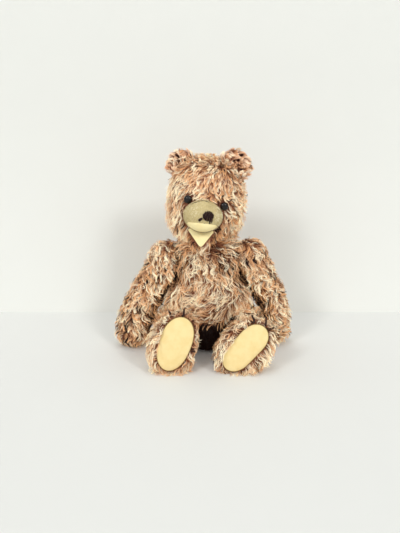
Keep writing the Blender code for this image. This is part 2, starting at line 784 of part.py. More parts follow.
def rounded_triangle(corners, rounding, per_corner=4):
    """The outline of a triangle with round corners, as (x, y) points."""
    points = [Vector(corner) * MM for corner in corners]
    outline = []
    for i, corner in enumerate(points):
        before = (points[i - 1] - corner).normalized() * rounding
        after = (points[(i + 1) % 3] - corner).normalized() * rounding
        for step in range(per_corner):
            share = step / (per_corner - 1)
            start, stop = corner + before * (1 - share), corner + after * share
            outline.append(tuple(start.lerp(stop, share)))
    return outline


def build_ear(name, spot, face, head_outer, empty):
    """A cupped ear of two cloth layers, cut to sit on the head."""
    right, back, up, half_width, turn, lean = spot
    profile = [(share * half_width * MM, height * MM) for share, height in EAR_SECTION]
    ear = turned(profile, EAR_SIDES)
    cup_forward = Matrix.Rotation(math.radians(-90), 4, "X")
    place = Matrix.Translation(Vector((right, back, up)) * MM)
    pose = place @ Matrix.Rotation(math.radians(turn), 4, "Z") @ Matrix.Rotation(math.radians(lean), 4, "Y")
    ear.transform(face @ pose @ cup_forward @ Matrix.Diagonal((1, EAR_TALLNESS, 1, 1)))
    add_piece(name, cut(ear, inset(head_outer, -GAP)), "pile_cloth", empty)


def eye_frame(spot, face, tree):
    """The frame of an eye on the head's surface, its Z pointing out."""
    start = face @ Vector((spot[0] * MM, -80 * MM, spot[1] * MM))
    place, normal, _, _ = tree.ray_cast(start, face.to_3x3() @ Vector((0, 1, 0)))
    out = (normal + face.to_3x3() @ Vector((0, -EYE_FACING, 0))).normalized()
    return axis_frame(place + normal * EYE_LIFT, out)


def eye_solid():
    """A glass eye on its wire shank."""
    angles = [math.pi / 2 * i / EYE_ROWS for i in range(EYE_ROWS)]
    dome = [(EYE_RADIUS * math.cos(a), EYE_HEIGHT * math.sin(a)) for a in angles]
    profile = [(0, -EYE_SHANK_LENGTH), (EYE_SHANK_RADIUS, -EYE_SHANK_LENGTH), (EYE_SHANK_RADIUS, 0)]
    return turned(profile + dome + [(0, EYE_HEIGHT)], EYE_SIDES)


def eye_hole():
    """A cutter for a shank's hole."""
    depth = EYE_SHANK_LENGTH + MM
    profile = ((0, -depth), (EYE_HOLE_RADIUS, -depth), (EYE_HOLE_RADIUS, 3 * MM), (0, 3 * MM))
    return turned(profile, EYE_HOLE_SIDES)


def build_muzzle_trim(face, muzzle, empty):
    """The stitched nose, what is left of the mouth stitch and the felt lip, all laid on the muzzle."""
    tree = surface_tree(muzzle)
    turn = face.to_3x3()
    right, up, inward = turn @ Vector((1, 0, 0)), turn @ Vector((0, 0, 1)), turn @ Vector((0, 1, 0))
    far = Vector((0, -90 * MM, 0))
    nose_x, nose_z, nose_w, nose_h = [value * MM for value in NOSE]
    origin = face @ (Vector((nose_x, 0, nose_z)) + far)
    grid = polar_grid(nose_w, nose_h, NOSE_ROWS, NOSE_SIDES)
    nose = patch(grid, tree, origin, right, up, inward, NOSE_EDGE, NOSE_CROWN)
    add_piece("nose_stitching", nose, "black_thread", empty)

    places = [face @ (Vector((x * MM, 0, z * MM)) + far) for x, z in MOUTH_STITCH]
    hits = [tree.ray_cast(place, inward) for place in places]
    path = [place + normal * (THREAD_RADIUS + LAID_GAP) for place, normal, _, _ in hits]
    add_piece("mouth_stitch", tube(path, THREAD_RADIUS, WIRE_SIDES), "black_thread", empty)

    lip_x, lip_z, lip_w, lip_h = [value * MM for value in LIP]
    lip_up = up * math.cos(LIP_TILT) - inward * math.sin(LIP_TILT)
    lip_in = inward * math.cos(LIP_TILT) + up * math.sin(LIP_TILT)
    origin = face @ (Vector((lip_x, 0, lip_z)) + LIP_START) - lip_in * LIP_BACKED_OFF
    lip_frame = Matrix.Translation(origin) @ Matrix((right, lip_up, -lip_in)).transposed().to_4x4()
    outline = pad_outline(lip_w, lip_h, 0, 0, LIP_SIDES)
    skin = hollow(inset(muzzle, -GAP - LIP_THICKNESS), inset(muzzle, -GAP))
    lip = combine(skin, prism(outline, lip_frame, -LIP_REACH, 0), "INTERSECT")
    add_piece("lip_felt", lip, "cream_felt", empty)


def build_jaw_felt(face, neighbours, empty):
    """The felt that lines the open lower jaw, cut clear of its neighbours."""
    turn = face.to_3x3()
    out = turn @ JAW_MOUTH_NORMAL
    right = turn @ Vector((1, 0, 0))
    mouth = Matrix.Translation(face @ JAW_MOUTH_POINT)
    mouth = mouth @ Matrix((right, out.cross(right), out)).transposed().to_4x4()
    outline = rounded_triangle(JAW_CORNERS, JAW_CORNER_ROUNDING)
    felt = prism(outline, mouth, GAP, GAP + LIP_THICKNESS)
    add_piece("jaw_felt", cut(felt, *neighbours), "cream_felt", empty)


def build_head(empty):
    """The head: its cover with the jaw, the set-in muzzle, stuffing, eyes, ears, nose and mouth."""
    face = Matrix.Translation(HEAD_MIDDLE) @ Matrix.Rotation(HEAD_ROLL, 4, "Y")
    skull = upright_body(HEAD_RINGS, TORSO_SIDES, Vector((0, 0, 0)), HEAD_ROUNDNESS)
    skull.transform(face)
    press_flat(skull, NECK + NECK_AXIS * HALF_JOINT_GAP, -NECK_AXIS)
    skull_inner = inset(skull, CLOTH)
    jaw = moved(jaw_body(), face)
    head_outer = join(skull, jaw)

    muzzle_outer = moved(muzzle_body(), face)
    muzzle_room = inset(moved(muzzle_body(GAP), face), -GAP)
    muzzle_long = moved(muzzle_body(MUZZLE_STUFFING_BACK), face)
    muzzle_inner = inset(muzzle_long, MUZZLE_CLOTH)
    muzzle_filling = inset(muzzle_long, MUZZLE_CLOTH + STUFFING_GAP)

    head_tree = surface_tree(head_outer)
    eye_frames = [eye_frame(spot, face, head_tree) for spot in (LEFT_EYE, RIGHT_EYE)]
    eye_holes = [moved(eye_hole(), frame) for frame in eye_frames]
    neck_hole = pin_hole(NECK, NECK_AXIS)

    cover = cut(cut(head_outer, skull_inner), muzzle_room, neck_hole, *eye_holes)
    stuffing = cut(inset(skull, CLOTH + STUFFING_GAP), muzzle_room)
    stuffing = join(stuffing, muzzle_filling)
    stuffing = cut(stuffing, pocket_at(NECK, NECK_AXIS, NECK_DISC_RADIUS), *eye_holes)
    add_piece("head_cover", cover, "pile_cloth", empty)
    add_piece("head_stuffing", stuffing, "wood_wool", empty)
    add_piece("muzzle_cover", cut(muzzle_outer, muzzle_inner), "muzzle_cloth", empty)
    for name, frame in zip(("left_eye", "right_eye"), eye_frames):
        add_piece(name, moved(eye_solid(), frame), "dark_glass", empty)
    build_ear("left_ear", LEFT_EAR, face, skull, empty)
    build_ear("right_ear", RIGHT_EAR, face, skull, empty)
    build_muzzle_trim(face, muzzle_outer, empty)
    build_jaw_felt(face, (inset(skull, -GAP), muzzle_room), empty)


def build_bear():
    """Builds every piece under the empties of its body."""
    clear_scene()
    bear = add_empty("bear", -FOOTPRINT_MIDDLE)
    places = {name: origin for name, origin, _, _ in JOINTS}
    torso = add_empty("torso", Vector((0, 0, 0)), bear)
    empties = {name: add_empty(name, place, bear) for name, place in places.items()}
    build_torso(torso)
    build_head(empties["neck"])
    build_arm("left_arm", LEFT_ARM_RINGS, LEFT_SHOULDER, 1, LEFT_PAW_CLAWS, empties["left_shoulder"])
    build_arm("right_arm", RIGHT_ARM_RINGS, RIGHT_SHOULDER, -1, RIGHT_PAW_CLAWS, empties["right_shoulder"])
    left, right = places["left_hip"], places["right_hip"]
    build_leg("left_leg", LEFT_LEG_RINGS, left, 1, LEFT_SOLE_WAIST, LEFT_FOOT_CLAWS, empties["left_hip"])
    build_leg("right_leg", RIGHT_LEG_RINGS, right, -1, RIGHT_SOLE_WAIST, RIGHT_FOOT_CLAWS, empties["right_hip"])
    for name, origin, axis, radius in JOINTS:
        add_joint(name, origin, axis, radius, torso, empties[name])


build_bear()
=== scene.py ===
"""The looks of an old jointed bear that sits on a pale floor with its legs stretched forwards.

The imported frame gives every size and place. Each stuffed part gets a soft skin grown from its cover, and carries
a coat of separate hairs. Felt, thread and glass pieces are built over their own nodes. Sizes held by the classes
are millimetres from the bear's own mid-plane, with the face towards -Y, and meshes are in metres.
"""

import logging
import math
from collections.abc import Callable, Iterable, Sequence
from dataclasses import dataclass, field
from enum import Enum
from typing import ClassVar

import bmesh
import bpy
import numpy as np
from mathutils import Matrix, Vector
from mathutils.bvhtree import BVHTree
from mathutils.kdtree import KDTree


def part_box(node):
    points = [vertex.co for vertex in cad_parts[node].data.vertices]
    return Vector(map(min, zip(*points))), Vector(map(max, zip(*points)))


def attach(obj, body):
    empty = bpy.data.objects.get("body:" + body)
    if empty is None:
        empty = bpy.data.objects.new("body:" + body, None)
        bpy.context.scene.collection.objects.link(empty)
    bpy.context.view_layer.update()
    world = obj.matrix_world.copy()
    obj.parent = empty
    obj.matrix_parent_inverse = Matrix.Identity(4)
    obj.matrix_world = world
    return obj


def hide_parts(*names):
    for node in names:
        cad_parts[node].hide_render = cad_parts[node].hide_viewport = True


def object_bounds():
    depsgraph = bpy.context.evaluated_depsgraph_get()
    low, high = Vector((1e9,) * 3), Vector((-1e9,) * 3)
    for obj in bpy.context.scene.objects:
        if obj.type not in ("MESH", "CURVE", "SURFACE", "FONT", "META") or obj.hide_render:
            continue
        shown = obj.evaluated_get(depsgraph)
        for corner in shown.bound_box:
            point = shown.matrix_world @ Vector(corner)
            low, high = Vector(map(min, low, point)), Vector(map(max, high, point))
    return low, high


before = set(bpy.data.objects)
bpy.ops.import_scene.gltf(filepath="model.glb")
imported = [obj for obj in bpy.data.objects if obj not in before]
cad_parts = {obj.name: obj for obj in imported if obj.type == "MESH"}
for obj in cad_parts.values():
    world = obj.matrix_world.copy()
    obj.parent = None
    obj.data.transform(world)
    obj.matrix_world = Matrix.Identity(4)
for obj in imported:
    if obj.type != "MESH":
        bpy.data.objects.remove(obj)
CAD_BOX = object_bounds()
NODES: dict[str, bpy.types.Object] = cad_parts

MM = 0.001
BEAR_MIDDLE = np.array((6.7, 22.9, 0.0))  # the bear's mid-plane in the frame, in mm
FLOOR_CLEARANCE = 0.4 * MM
BOX_MARGIN = 10.0 * MM  # how far hair may stand out of the frame's own box
TURN = 2 * math.pi

log = logging.getLogger("bear")

Triple = tuple[float, float, float]
Colour = tuple[float, float, float, float]
Array = np.ndarray
Thing = bpy.types.Object
Mesh = bpy.types.Mesh
Material = bpy.types.Material
Socket = bpy.types.NodeSocket
Shape = bmesh.types.BMesh
Chance = np.random.Generator


class Body(Enum):
    """The bodies that pieces ride on."""

    TORSO = "torso"
    HEAD = "head"
    LEFT_ARM = "left_arm"
    RIGHT_ARM = "right_arm"
    LEFT_LEG = "left_leg"
    RIGHT_LEG = "right_leg"


class Slot(Enum):
    """The record's material slots; stuffed parts and coats hold one, which nothing here reads."""

    PILE = "pile_cloth"
    MUZZLE = "muzzle_cloth"
    FELT = "cream_felt"
    THREAD = "black_thread"
    GLASS = "dark_glass"


def tint(*display: float) -> Colour:
    """Turns a display colour, 0 to 255, into the linear one that a shader takes."""
    shares = (value / 255 for value in display)
    return (*(s / 12.92 if s <= 0.04045 else ((s + 0.055) / 1.055) ** 2.4 for s in shares), 1.0)


def tints(*displays: tuple[int, int, int]) -> tuple[Colour, ...]:
    """Turns several display colours into linear ones."""
    return tuple(tint(*display) for display in displays)


def in_frame(points: Sequence[Triple] | Triple) -> Array:
    """Turns millimetres from the bear's middle into the frame's metres."""
    return (np.asarray(points, float) + BEAR_MIDDLE) * MM


# ---- shaders ---------------------------------------------------------------------------------------------------


def as_operator(operation: str, swapped: bool = False) -> Callable[["Term", "Term | float"], "Term"]:
    """Makes a Python operator that adds one Math node.

    Args:
        operation: The node's operation.
        swapped: Whether the term comes second.

    Returns:
        The operator.
    """

    def apply(term: "Term", other: "Term | float") -> "Term":
        """Returns the node's result."""
        return term.combined(operation, *((other, term) if swapped else (term, other)))

    return apply


@dataclass(frozen=True)
class Term:
    """A number in a shader that takes part in Python expressions."""

    recipe: "Recipe"
    socket: Socket

    __add__ = as_operator("ADD")
    __sub__ = as_operator("SUBTRACT")
    __rsub__ = as_operator("SUBTRACT", swapped=True)
    __mul__ = as_operator("MULTIPLY")
    __rmul__ = as_operator("MULTIPLY", swapped=True)
    __pow__ = as_operator("POWER")

    def combined(self, operation: str, first: "Term | float", second: "Term | float") -> "Term":
        """Adds one Math node and returns its result."""
        node = self.recipe.add("ShaderNodeMath", {"operation": operation}, {0: first, 1: second})
        return Term(self.recipe, node.outputs[0])

    def within(self, low: float, high: float) -> "Term":
        """Spreads the range from low to high over 0 to 1, clamped and smooth.

        Args:
            low: Where the result is 0.
            high: Where the result is 1.

        Returns:
            The result.
        """
        sockets = {"Value": self, "From Min": low, "From Max": high}
        node = self.recipe.add("ShaderNodeMapRange", {"interpolation_type": "SMOOTHSTEP"}, sockets)
        return Term(self.recipe, node.outputs["Result"])

    def sine(self) -> "Term":
        """Returns the sine of the value."""
        return self.combined("SINE", self, 0.0)


class Recipe:
    """One material and the nodes that make it."""

    def __init__(self, name: str) -> None:
        """Starts a material with a Principled shader.

        Args:
            name: The material's name.
        """
        self.material = bpy.data.materials.new(name)
        self.material.use_nodes = True
        self.tree = self.material.node_tree
        self.shader = self.tree.nodes["Principled BSDF"]

    def feed(self, socket: Socket, value: object) -> None:
        """Sets a socket's value, or links it where the value is a term or another socket.

        Args:
            socket: The input.
            value: The value, term or socket.
        """
        value = value.socket if isinstance(value, Term) else value
        if isinstance(value, Socket):
            self.tree.links.new(value, socket)
        else:
            socket.default_value = value

    def add(self, kind: str, settings: dict | None = None, sockets: dict | None = None) -> bpy.types.Node:
        """Adds a node.

        Args:
            kind: The node's type.
            settings: Its properties, set before its sockets.
            sockets: Values, terms or sockets for its inputs, by name or number.

        Returns:
            The node.
        """
        node = self.tree.nodes.new(kind)
        for name, value in (settings or {}).items():
            setattr(node, name, value)
        for key, value in (sockets or {}).items():
            self.feed(node.inputs[key], value)
        return node

    def place(self, stretch: Triple = (1.0, 1.0, 1.0)) -> Socket:
        """Returns the surface's own place in metres, stretched along each axis."""
        where = self.add("ShaderNodeTexCoord").outputs["Object"]
        return self.add("ShaderNodeMapping", sockets={"Vector": where, "Scale": stretch}).outputs["Vector"]

    def noise(self, size_mm: float, detail: float = 2.0, stretch: Triple = (1.0, 1.0, 1.0)) -> Term:
        """Adds cloudy noise about 0.5, its patches of one size, with finer layers, closer along some axes."""
        sockets = {"Vector": self.place(stretch), "Scale": 1 / (size_mm * MM), "Detail": detail}
        return Term(self, self.add("ShaderNodeTexNoise", sockets=sockets).outputs["Fac"])

    def carried(self, name: str) -> Term:
        """Returns a number that the mesh carries at each point."""
        return Term(self, self.add("ShaderNodeAttribute", {"attribute_name": name}).outputs["Fac"])

    def mix(self, share: Term | float, low: object, high: object) -> Socket:
        """Mixes two colours, by how much of the second there is."""
        return self.add("ShaderNodeMix", {"data_type": "RGBA"}, {0: share, 6: low, 7: high}).outputs[2]

    def finish(self, colour: object, roughness: object, relief: Term | None = None, depth_mm: float = 0.2,
               **others: object) -> Material:
        """Joins the shader up.

        Args:
            colour: The base colour or its socket.
            roughness: The roughness or its term.
            relief: The bump's height, or none.
            depth_mm: How deep the relief is.
            others: Other shader sockets, with _ for a space.

        Returns:
            The material.
        """
        for name, value in {"Base_Color": colour, "Roughness": roughness, **others}.items():
            self.feed(self.shader.inputs[name.replace("_", " ")], value)
        if relief is not None:
            bump = self.add("ShaderNodeBump", sockets={"Height": relief, "Distance": depth_mm * MM, "Strength": 1.0})
            self.feed(self.shader.inputs["Normal"], bump.outputs["Normal"])
        return self.material


# ---- finishes --------------------------------------------------------------------------------------------------


@dataclass(frozen=True)
class Finish:
    """A way to finish a surface."""

    def material(self, name: str) -> Material:
        """Builds the material."""
        return self.mixed(Recipe(name))

    def mixed(self, recipe: Recipe) -> Material:
        """Fills a new recipe in and returns its material; each finish has its own."""
        raise NotImplementedError


@dataclass(frozen=True)
class Backing(Finish):
    """The woven cloth that the pile is rooted in, matted with stubs of worn hair."""

    dark: Colour
    pale: Colour
    patch_mm: float = 9.0
    yarn_mm: float = 0.5
    stub_mm: float = 1.1

    def mixed(self, recipe: Recipe) -> Material:
        """Mixes worn patches with stubs, over yarn that runs along Z.

        Args:
            recipe: The new material.

        Returns:
            The material.
        """
        patches = recipe.noise(self.patch_mm, 3)
        stubs = recipe.noise(self.stub_mm, 2)
        yarn = recipe.noise(self.yarn_mm, 1, (1.0, 1.0, 0.45))
        share = (patches * 0.6 + stubs * 0.7 - 0.15).within(0.25, 0.85)
        relief = stubs * 0.7 + yarn * 0.3
        return recipe.finish(recipe.mix(share, self.dark, self.pale), 0.95, relief, 0.5)


@dataclass(frozen=True)
class HairDye(Finish):
    """The colours of hair: deep at the root, then a cool or warm tan, near white on the palest locks.

    Each hair carries how far along, how pale and how warm it is. The least pale hairs fade to a near-black painted
    shade, and the dark root also paints the shade down in the pile. A little of its colour is given out as light, for
    what hairs pass on to each other.
    """

    shadow: Colour
    deep: Colour
    cool: Colour
    warm: Colour
    pale: Colour
    glow: float = 0.24
    bleached_from: tuple[float, float] = (0.48, 0.86)
    shaded_to: tuple[float, float] = (0.07, 0.28)

    def mixed(self, recipe: Recipe) -> Material:
        """Mixes the colours along each hair.

        Args:
            recipe: The new material.

        Returns:
            The material.
        """
        along, paleness, warmth = (recipe.carried(kept) for kept in Hair.CARRIED)
        tan = recipe.mix(warmth, self.cool, self.warm)
        bleached = recipe.mix(paleness.within(*self.bleached_from), tan, self.pale)
        rooted = recipe.mix(along ** (1.1 - 0.7 * paleness), self.deep, bleached)
        colour = recipe.mix(paleness.within(*self.shaded_to), self.shadow, rooted)
        return recipe.finish(colour, 0.6, Specular_IOR_Level=0.25, Emission_Color=colour, Emission_Strength=self.glow)


@dataclass(frozen=True)
class Felt(Finish):
    """Aged wool felt with loose fibres, faint blotches and handling marks."""

    clean: Colour
    aged: Colour
    blotch_mm: float = 11.0
    fibre_mm: float = 0.55
    pill_mm: float = 1.7

    def mixed(self, recipe: Recipe) -> Material:
        """Mixes blotches and fibres, with pills in the relief.

        Args:
            recipe: The new material.

        Returns:
            The material.
        """
        blotches = recipe.noise(self.blotch_mm, 3).within(0.35, 0.72)
        fibres = recipe.noise(self.fibre_mm, 3, (1.0, 0.6, 0.8))
        pills = recipe.noise(self.pill_mm, 2).within(0.55, 0.75)
        colour = recipe.mix(blotches * 0.6 + fibres * 0.35, self.clean, self.aged)
        return recipe.finish(colour, 0.92, fibres * 0.7 + pills * 0.5, 0.28)


@dataclass(frozen=True)
class Thread(Finish):
    """Twisted yarn: its strands run round it as a screw. It carries its length and the angle round it."""

    dark: Colour
    worn: Colour
    turns_per_mm: float = 0.9
    fluff_mm: float = 0.5

    def mixed(self, recipe: Recipe) -> Material:
        """Mixes the twist with fluff.

        Args:
            recipe: The new material.

        Returns:
            The material.
        """
        length, angle = (recipe.carried(kept) for kept in Yarn.CARRIED)
        twist = (length * (self.turns_per_mm * TURN / MM) + angle * 2).sine() * 0.5 + 0.5
        fluff = recipe.noise(self.fluff_mm, 2)
        colour = recipe.mix((twist * 0.5 + fluff * 0.6 - 0.2).within(0.2, 0.9), self.dark, self.worn)
        return recipe.finish(colour, 0.6, twist + fluff * 0.4, 0.15, Specular_IOR_Level=0.25)


@dataclass(frozen=True)
class EyeGlass(Finish):
    """Black glass, polished, with a little dust and fine scratches."""

    colour: Colour
    dusty: Colour
    dust_mm: float = 1.4

    def mixed(self, recipe: Recipe) -> Material:
        """Mixes dust over the glass, rougher where it lies.

        Args:
            recipe: The new material.

        Returns:
            The material.
        """
        dust = recipe.noise(self.dust_mm, 4).within(0.55, 0.8)
        roughness = dust * 0.12 + 0.06
        return recipe.finish(recipe.mix(dust * 0.2, self.colour, self.dusty), roughness, Specular_IOR_Level=0.4)


@dataclass(frozen=True)
class Grained(Finish):
    """A plain inner material with grain: board, card or drawn steel."""

    dark: Colour
    pale: Colour
    grain_mm: float
    roughness: float
    metallic: float = 0.0

    def mixed(self, recipe: Recipe) -> Material:
        """Mixes the grain into the colour, the roughness and the relief.

        Args:
            recipe: The new material.

        Returns:
            The material.
        """
        grain = recipe.noise(self.grain_mm, 4)
        colour = recipe.mix(grain.within(0.3, 0.7), self.dark, self.pale)
        return recipe.finish(colour, grain * 0.2 + (self.roughness - 0.1), grain, 0.2, Metallic=self.metallic)


# ---- meshes ----------------------------------------------------------------------------------------------------


def numbers_of(items: bpy.types.bpy_prop_collection, name: str, kind: type = np.float32) -> Array:
    """Reads three numbers of each item as an array.

    Args:
        items: The items, such as a mesh's vertices.
        name: The property to read.
        kind: The type of number.

    Returns:
        One row for each item.
    """
    flat = np.empty(len(items) * 3, kind)
    items.foreach_get(name, flat)
    return flat.reshape(-1, 3)


def points_of(thing: Thing) -> Array:
    """Returns an object's points."""
    return numbers_of(thing.data.vertices, "co").astype(float)


def corners_of(node: str) -> Array:
    """Returns a CAD node's points, each once."""
    return np.unique(np.round(points_of(NODES[node]), 6), axis=0)


def set_points(thing: Thing, points: Array) -> None:
    """Moves an object's points."""
    thing.data.vertices.foreach_set("co", points.astype(np.float32).ravel())
    thing.data.update()


def carry(mesh: Mesh, numbers: dict[str, Array]) -> None:
    """Gives a mesh's points numbers to carry, one per point."""
    for name, values in numbers.items():
        mesh.attributes.new(name, "FLOAT", "POINT").data.foreach_set("value", values.astype(np.float32).ravel())


def dress(mesh: Mesh, material: Material) -> None:
    """Gives a mesh one material."""
    mesh.materials.clear()
    mesh.materials.append(material)


def unit(vectors: Array) -> Array:
    """Returns vectors with a length of 1."""
    return vectors / np.maximum(np.linalg.norm(vectors, axis=-1, keepdims=True), 1e-9)


def angles(count: int, start: float = 0.0) -> Array:
    """Returns even angles round a circle."""
    return np.linspace(start, start + TURN, count, endpoint=False)


def oval(half_wide: float, half_high: float, count: int) -> Array:
    """Returns an oval outline."""
    angle = angles(count, -math.pi)
    return np.stack([half_wide * np.cos(angle), half_high * np.sin(angle)], -1)


def reach_at(outline: Array, angle: Array) -> Array:
    """Returns how far a round outline is from its middle at angles.

    Args:
        outline: The outline's points.
        angle: The angles, in radians.

    Returns:
        The distances.
    """
    own_angle = np.arctan2(outline[:, 1], outline[:, 0])
    order = np.argsort(own_angle)
    return np.interp(angle, own_angle[order], np.hypot(*outline[order].T), period=TURN)


def placed(local: Array, frame: Matrix) -> Array:
    """Moves points out of a frame of their own."""
    return local @ np.array(frame.to_3x3()).T + np.array(frame.translation)


def smooth_step(values: Array, low: float, high: float) -> Array:
    """Spreads values from low to high over 0 to 1, smoothly."""
    share = np.clip((values - low) / (high - low), 0, 1)
    return share * share * (3 - 2 * share)


def new_object(name: str, mesh: Mesh, material: Material | None = None) -> Thing:
    """Links a mesh to the scene as an object.

    Args:
        name: The object's name.
        mesh: The mesh.
        material: Its material, or none.

    Returns:
        The object.
    """
    if material is not None:
        dress(mesh, material)
    thing = bpy.data.objects.new(name, mesh)
    bpy.context.scene.collection.objects.link(thing)
    return thing


def merged(meshes: Iterable[Mesh]) -> Shape:
    """Starts an edited mesh from several meshes.

    Args:
        meshes: The meshes.

    Returns:
        The edited mesh.
    """
    shape = bmesh.new()
    for mesh in meshes:
        shape.from_mesh(mesh)
    return shape


def store(shape: Shape, mesh: Mesh) -> Mesh:
    """Writes an edited mesh to a mesh and frees it.

    Args:
        shape: The edited mesh.
        mesh: The mesh to write to.

    Returns:
        The mesh.
    """
    shape.to_mesh(mesh)
    shape.free()
    return mesh


def from_bmesh(name: str, shape: Shape, material: Material | None = None) -> Thing:
    """Turns an edited mesh into a smooth shaded object.

    Args:
        name: The object's name.
        shape: The edited mesh, which is freed.
        material: Its material, or none.

    Returns:
        The object.
    """
    bmesh.ops.recalc_face_normals(shape, faces=shape.faces)
    mesh = store(shape, bpy.data.meshes.new(name))
    mesh.shade_smooth()
    return new_object(name, mesh, material)


def lofted(name: str, rings: Array, material: Material, loop: bool = False,
           carried: dict[str, Array] | None = None) -> Thing:
    """Joins rings of points into a closed skin, with a cap at each end unless it loops.

    Args:
        name: The object's name.
        rings: The points, ring by ring.
        material: Its material.
        loop: Whether the last ring joins the first.
        carried: Numbers that the points carry, one per point.

    Returns:
        The object.
    """
    rows, sides = rings.shape[:2]
    row, side = np.meshgrid(np.arange(rows if loop else rows - 1), np.arange(sides), indexing="ij")
    up, on = (row + 1) % rows, (side + 1) % sides
    quads = np.stack([row * sides + side, row * sides + on, up * sides + on, up * sides + side], -1).reshape(-1, 4)
    faces = [tuple(quad) for quad in quads.tolist()]
    if not loop:
        faces += [tuple(range(sides))[::-1], tuple(range((rows - 1) * sides, rows * sides))]
    mesh = bpy.data.meshes.new(name)
    mesh.from_pydata(rings.reshape(-1, 3).tolist(), [], faces)
    carry(mesh, carried or {})
    shape = merged([mesh])
    bpy.data.meshes.remove(mesh)
    return from_bmesh(name, shape, material)


def remeshed(thing: Thing, voxel: float) -> None:
    """Gives an object a new even mesh of its outside.

    Args:
        thing: The object.
        voxel: The new mesh's spacing, in metres.
    """
    modifier = thing.modifiers.new("remesh", "REMESH")
    modifier.mode = "VOXEL"
    modifier.voxel_size = voxel
    graph = bpy.context.evaluated_depsgraph_get()
    mesh = bpy.data.meshes.new_from_object(thing.evaluated_get(graph), depsgraph=graph)
    thing.modifiers.clear()
    thing.data = mesh


def tree_of(mesh: Mesh) -> BVHTree:
    """Returns a search tree of a mesh's surface."""
    return BVHTree.FromPolygons([v.co for v in mesh.vertices], [tuple(p.vertices) for p in mesh.polygons])


def distances_to(points: Array, nodes: Iterable[str], limit: float) -> Array:
    """Measures how far points are from the nearest of several CAD nodes.

    Args:
        points: The points.
        nodes: The nodes.
        limit: The distance past which it doesn't matter.

    Returns:
        The distances, at most the limit.
    """
    near = np.full(len(points), limit)
    for node in nodes:
        tree = tree_of(NODES[node].data)
        for i, point in enumerate(points):
            hit = tree.find_nearest(Vector(point), limit)
            if hit[0] is not None:
                near[i] = min(near[i], hit[3])
    return near


def on_body(piece: Thing, body: Body, nodes: Sequence[str] = ()) -> Thing:
    """Sets a finished piece on its body.

    Args:
        piece: The piece.
        body: The body that it rides on.
        nodes: The CAD nodes that it stands for.

    Returns:
        The piece.
    """
    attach(piece, body.value)
    if nodes:
        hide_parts(*nodes)
    return piece


# ---- stuffed parts ---------------------------------------------------------------------------------------------


@dataclass
class Stuffed:
    """A stuffed part's skin: the outside of its cover, blown up tight and smoothed."""

    name: str
    body: Body
    cover: str
    stands_for: tuple[str, ...]
    finish: Backing
    slot: Slot = Slot.PILE
    voxel_mm: float = 3.6
    swell_mm: float = 1.6
    fill: float = 0.95
    closed_by: tuple[str, ...] = ()
    steady_near: tuple[str, ...] = ()

    CLOTH_STEPS = 14
    PRESSURE = 4.0
    NEAR_MM = 12.0  # how far a neighbour is looked for
    FREE_FROM_MM = (1.5, 9.0)  # how far from a neighbour the skin starts to swell, and swells in full
    FREE_ABOVE_MM = (0.8, 6.0)  # the same above the floor
    HELD_BELOW = 0.04

    def outside(self) -> Thing:
        """Takes the outer surface of the cover and of all that fills or closes it.

        Returns:
            One closed skin.
        """
        nodes = (self.cover, *self.stands_for, *self.closed_by)
        whole = from_bmesh(f"{self.name}_skin", merged(NODES[node].data for node in nodes))
        remeshed(whole, self.voxel_mm * MM)
        shape = merged([whole.data])
        self.keep_largest(shape)
        store(shape, whole.data)
        return whole

    @staticmethod
    def keep_largest(shape: Shape) -> None:
        """Deletes all but the island with the most faces.

        Args:
            shape: The edited mesh.
        """
        left = set(shape.faces)
        islands = []
        while left:
            island, edge_of_it = set(), [left.pop()]
            while edge_of_it:
                face = edge_of_it.pop()
                island.add(face)
                beside = {other for edge in face.edges for other in edge.link_faces} & left
                left -= beside
                edge_of_it.extend(beside)
            islands.append(island)
        islands.sort(key=len)
        stray = [face for island in islands[:-1] for face in island]
        bmesh.ops.delete(shape, geom=stray, context="FACES")

    def blow_up(self) -> None:
        """Swells the skin with cloth pressure, no further than its limit, and not at all beside its neighbours."""
        rest = points_of(self.skin)
        near = distances_to(rest, self.steady_near, self.NEAR_MM * MM)
        free = smooth_step(near, *(mm * MM for mm in self.FREE_FROM_MM))
        free *= smooth_step(rest[:, 2], *(mm * MM for mm in self.FREE_ABOVE_MM))
        held = self.skin.vertex_groups.new(name="held")
        held.add([int(i) for i in np.flatnonzero(free < self.HELD_BELOW)], 1.0, "REPLACE")
        cloth = self.skin.modifiers.new("cloth", "CLOTH")
        cloth.settings.use_pressure = True
        cloth.settings.uniform_pressure_force = self.PRESSURE
        cloth.settings.effector_weights.gravity = 0
        cloth.settings.vertex_group_mass = held.name
        scene = bpy.context.scene
        for step in range(1, self.CLOTH_STEPS + 1):
            scene.frame_set(step)
        made = self.skin.evaluated_get(bpy.context.evaluated_depsgraph_get())
        moved = points_of(made) - rest
        self.skin.modifiers.remove(cloth)
        self.skin.vertex_groups.clear()
        scene.frame_set(1)
        size = np.linalg.norm(moved, axis=1, keepdims=True)
        most = (self.swell_mm * MM * free)[:, None]
        set_points(self.skin, rest + moved * np.minimum(1, most / np.maximum(size, 1e-9)))

    def soften(self, rounds: int) -> None:
        """Smooths the skin by moving each point towards its neighbours.

        Args:
            rounds: How many times.
        """
        shape = merged([self.skin.data])
        axes = {f"use_axis_{axis}": True for axis in "xyz"}
        for _ in range(rounds):
            bmesh.ops.smooth_vert(shape, verts=shape.verts, factor=0.5, **axes)
        for vert in shape.verts:
            vert.co.z = max(vert.co.z, FLOOR_CLEARANCE)
        store(shape, self.skin.data)

    def build(self) -> Thing:
        """Builds the skin and returns it, riding on its body.

        Returns:
            The skin.
        """
        self.skin = self.outside()
        self.soften(2)
        self.blow_up()
        self.soften(1)
        self.skin.data.shade_smooth()
        dress(self.skin.data, self.finish.material(f"{self.name}_backing"))
        return on_body(self.skin, self.body, (self.cover, *self.stands_for))


# ---- hair ------------------------------------------------------------------------------------------------------


